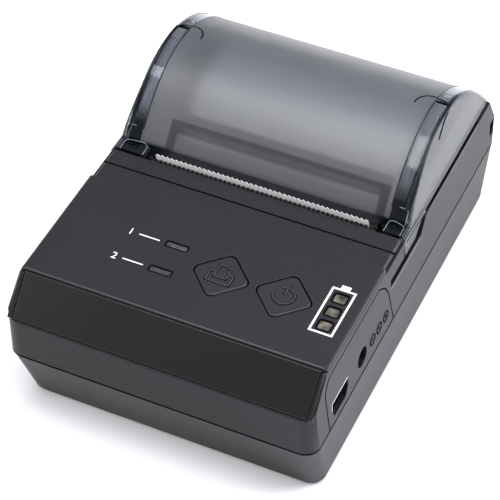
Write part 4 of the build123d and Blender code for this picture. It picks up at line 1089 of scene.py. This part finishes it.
def add_toe_outlines():
    """Fine lines of painted glint round the cover's toes and over the foot of each band."""
    foot = [(35.4, 44.05), (36.4, 44.0), (37.2, 43.9), (37.7, 43.5), (37.75, 42.4), (37.7, 41.2),
            (37.6, 40.3)]
    toe_edge = {"right": 33.4, "left": 31.4}
    for side, word in SIDES:
        edge = toe_edge[word]
        toe = [(edge, -4.6, 40.05), (edge, -2.6, 40.05), (edge + 0.1, -1.3, 40.15),
               (edge + 0.7, -1.15, 40.75), (edge + 1.5, -1.12, 40.9), (36.1, -1.12, 40.6),
               (37.4, -1.2, 40.08), (37.6, -2.4, 40.05), (37.6, -4.6, 40.05)]
        points = [Vector((side * p.x, p.y, p.z)) for p in smooth_run(toe, 6)]
        add_line_on_cover(f"{word}_toe_outline", points, 0.06, "glint")
        points = [cover_front(side * p.x, p.y) for p in flat_run(foot, 6)]
        add_line_on_cover(f"{word}_foot_outline", points, 0.06, "glint")


def add_rail_shadows():
    """Painted shadow in a channel and a painted highlight on the edge of each case rail, under the
    cover's side wall.
    """
    half = 17.4
    middle = 28.0
    for side, word in SIDES:
        channel = add_bar((-0.55, -half, -0.06), (0.55, half, 0.06), 0.03)
        tilt = Matrix.Rotation(radians(side * 45), 4, "Y")
        place = Matrix.Translation((side * 39.12 * MM, middle * MM, 37.34 * MM))
        channel.matrix_world = place @ tilt
        settle(channel, f"{word}_rail_channel_shadow", "housing", "seam_shade")
        edge = add_bar((-0.07, -half, -0.07), (0.07, half, 0.07), 0.03)
        edge.location = (side * 39.54 * MM, middle * MM, 36.05 * MM)
        settle(edge, f"{word}_rail_edge_highlight", "housing", "lip")


def add_corner_beads():
    """Rounded black end of the glossy front on both sides."""
    half_width, half_length = 0.35, 5.95
    rise, run_back = 9.4, 8.5
    tilt = Matrix.Rotation(atan2(rise, run_back), 4, "X")
    for side, word in SIDES:
        bead = add_bar((-half_width, -half_length, -half_width),
                       (half_width, half_length, half_width), 0.3, 4)
        bead.matrix_world = Matrix.Translation((side * 38.95 * MM, -56.45 * MM, 36.2 * MM)) @ tilt
        settle(bead, f"{word}_corner_bead", "housing", "gloss")


def add_grip_pads():
    """Fine ridges moulded across each band just ahead of the joint."""
    rows, start, pitch = 7, 23.6, 0.62
    inner, outer = 34.1, 36.5
    half = 0.14
    for side, word in SIDES:
        ridges = []
        for row in range(rows):
            y = start + row * pitch
            low = min(cover_top(side * x, y).z for x in (inner, outer))
            ridges.append(add_bar((side * inner, y - half, low - 0.1),
                                  (side * outer, y + half, low + 0.16), 0.06))
        settle(join(ridges), f"{word}_grip_pad", "cover", "ridge")


def add_thumb_ridges():
    """Rounded ridge along each side tab, where a thumb lifts the cover, with a black bar of
    painted shade in its groove.
    """
    tilt = Matrix.Rotation(radians(-4.5), 4, "X")
    for side, word in SIDES:
        bar = add_bar((-0.25, -6.9, -0.65), (0.25, 6.9, 0.65), 0.24, 4)
        bar.matrix_world = Matrix.Translation((side * 39.35 * MM, 1.2 * MM, 38.5 * MM)) @ tilt
        groove = add_bar((-0.1, -6.2, -0.22), (0.1, 6.2, 0.22), 0.09)
        shift = Matrix.Translation((side * 39.58 * MM, 1.2 * MM, 38.55 * MM))
        groove.matrix_world = shift @ tilt
        settle(bar, f"{word}_thumb_ridge", "cover", "ridge")
        settle(groove, f"{word}_thumb_groove", "cover", "seam_shade")


def run():
    """Make everything in order."""
    add_camera()
    add_studio()
    paint_nodes()
    add_gauge_outline()
    add_light_marks()
    add_light_rims()
    add_seam_lines()
    add_socket_rim()
    add_power_icon()
    add_feed_icon()
    add_polarity_marks()
    add_slot_lips()
    add_tear_teeth()
    add_edge_beads()
    add_cover_joints()
    add_band_edges()
    add_toe_outlines()
    add_rail_shadows()
    add_corner_beads()
    add_grip_pads()
    add_thumb_ridges()


run()
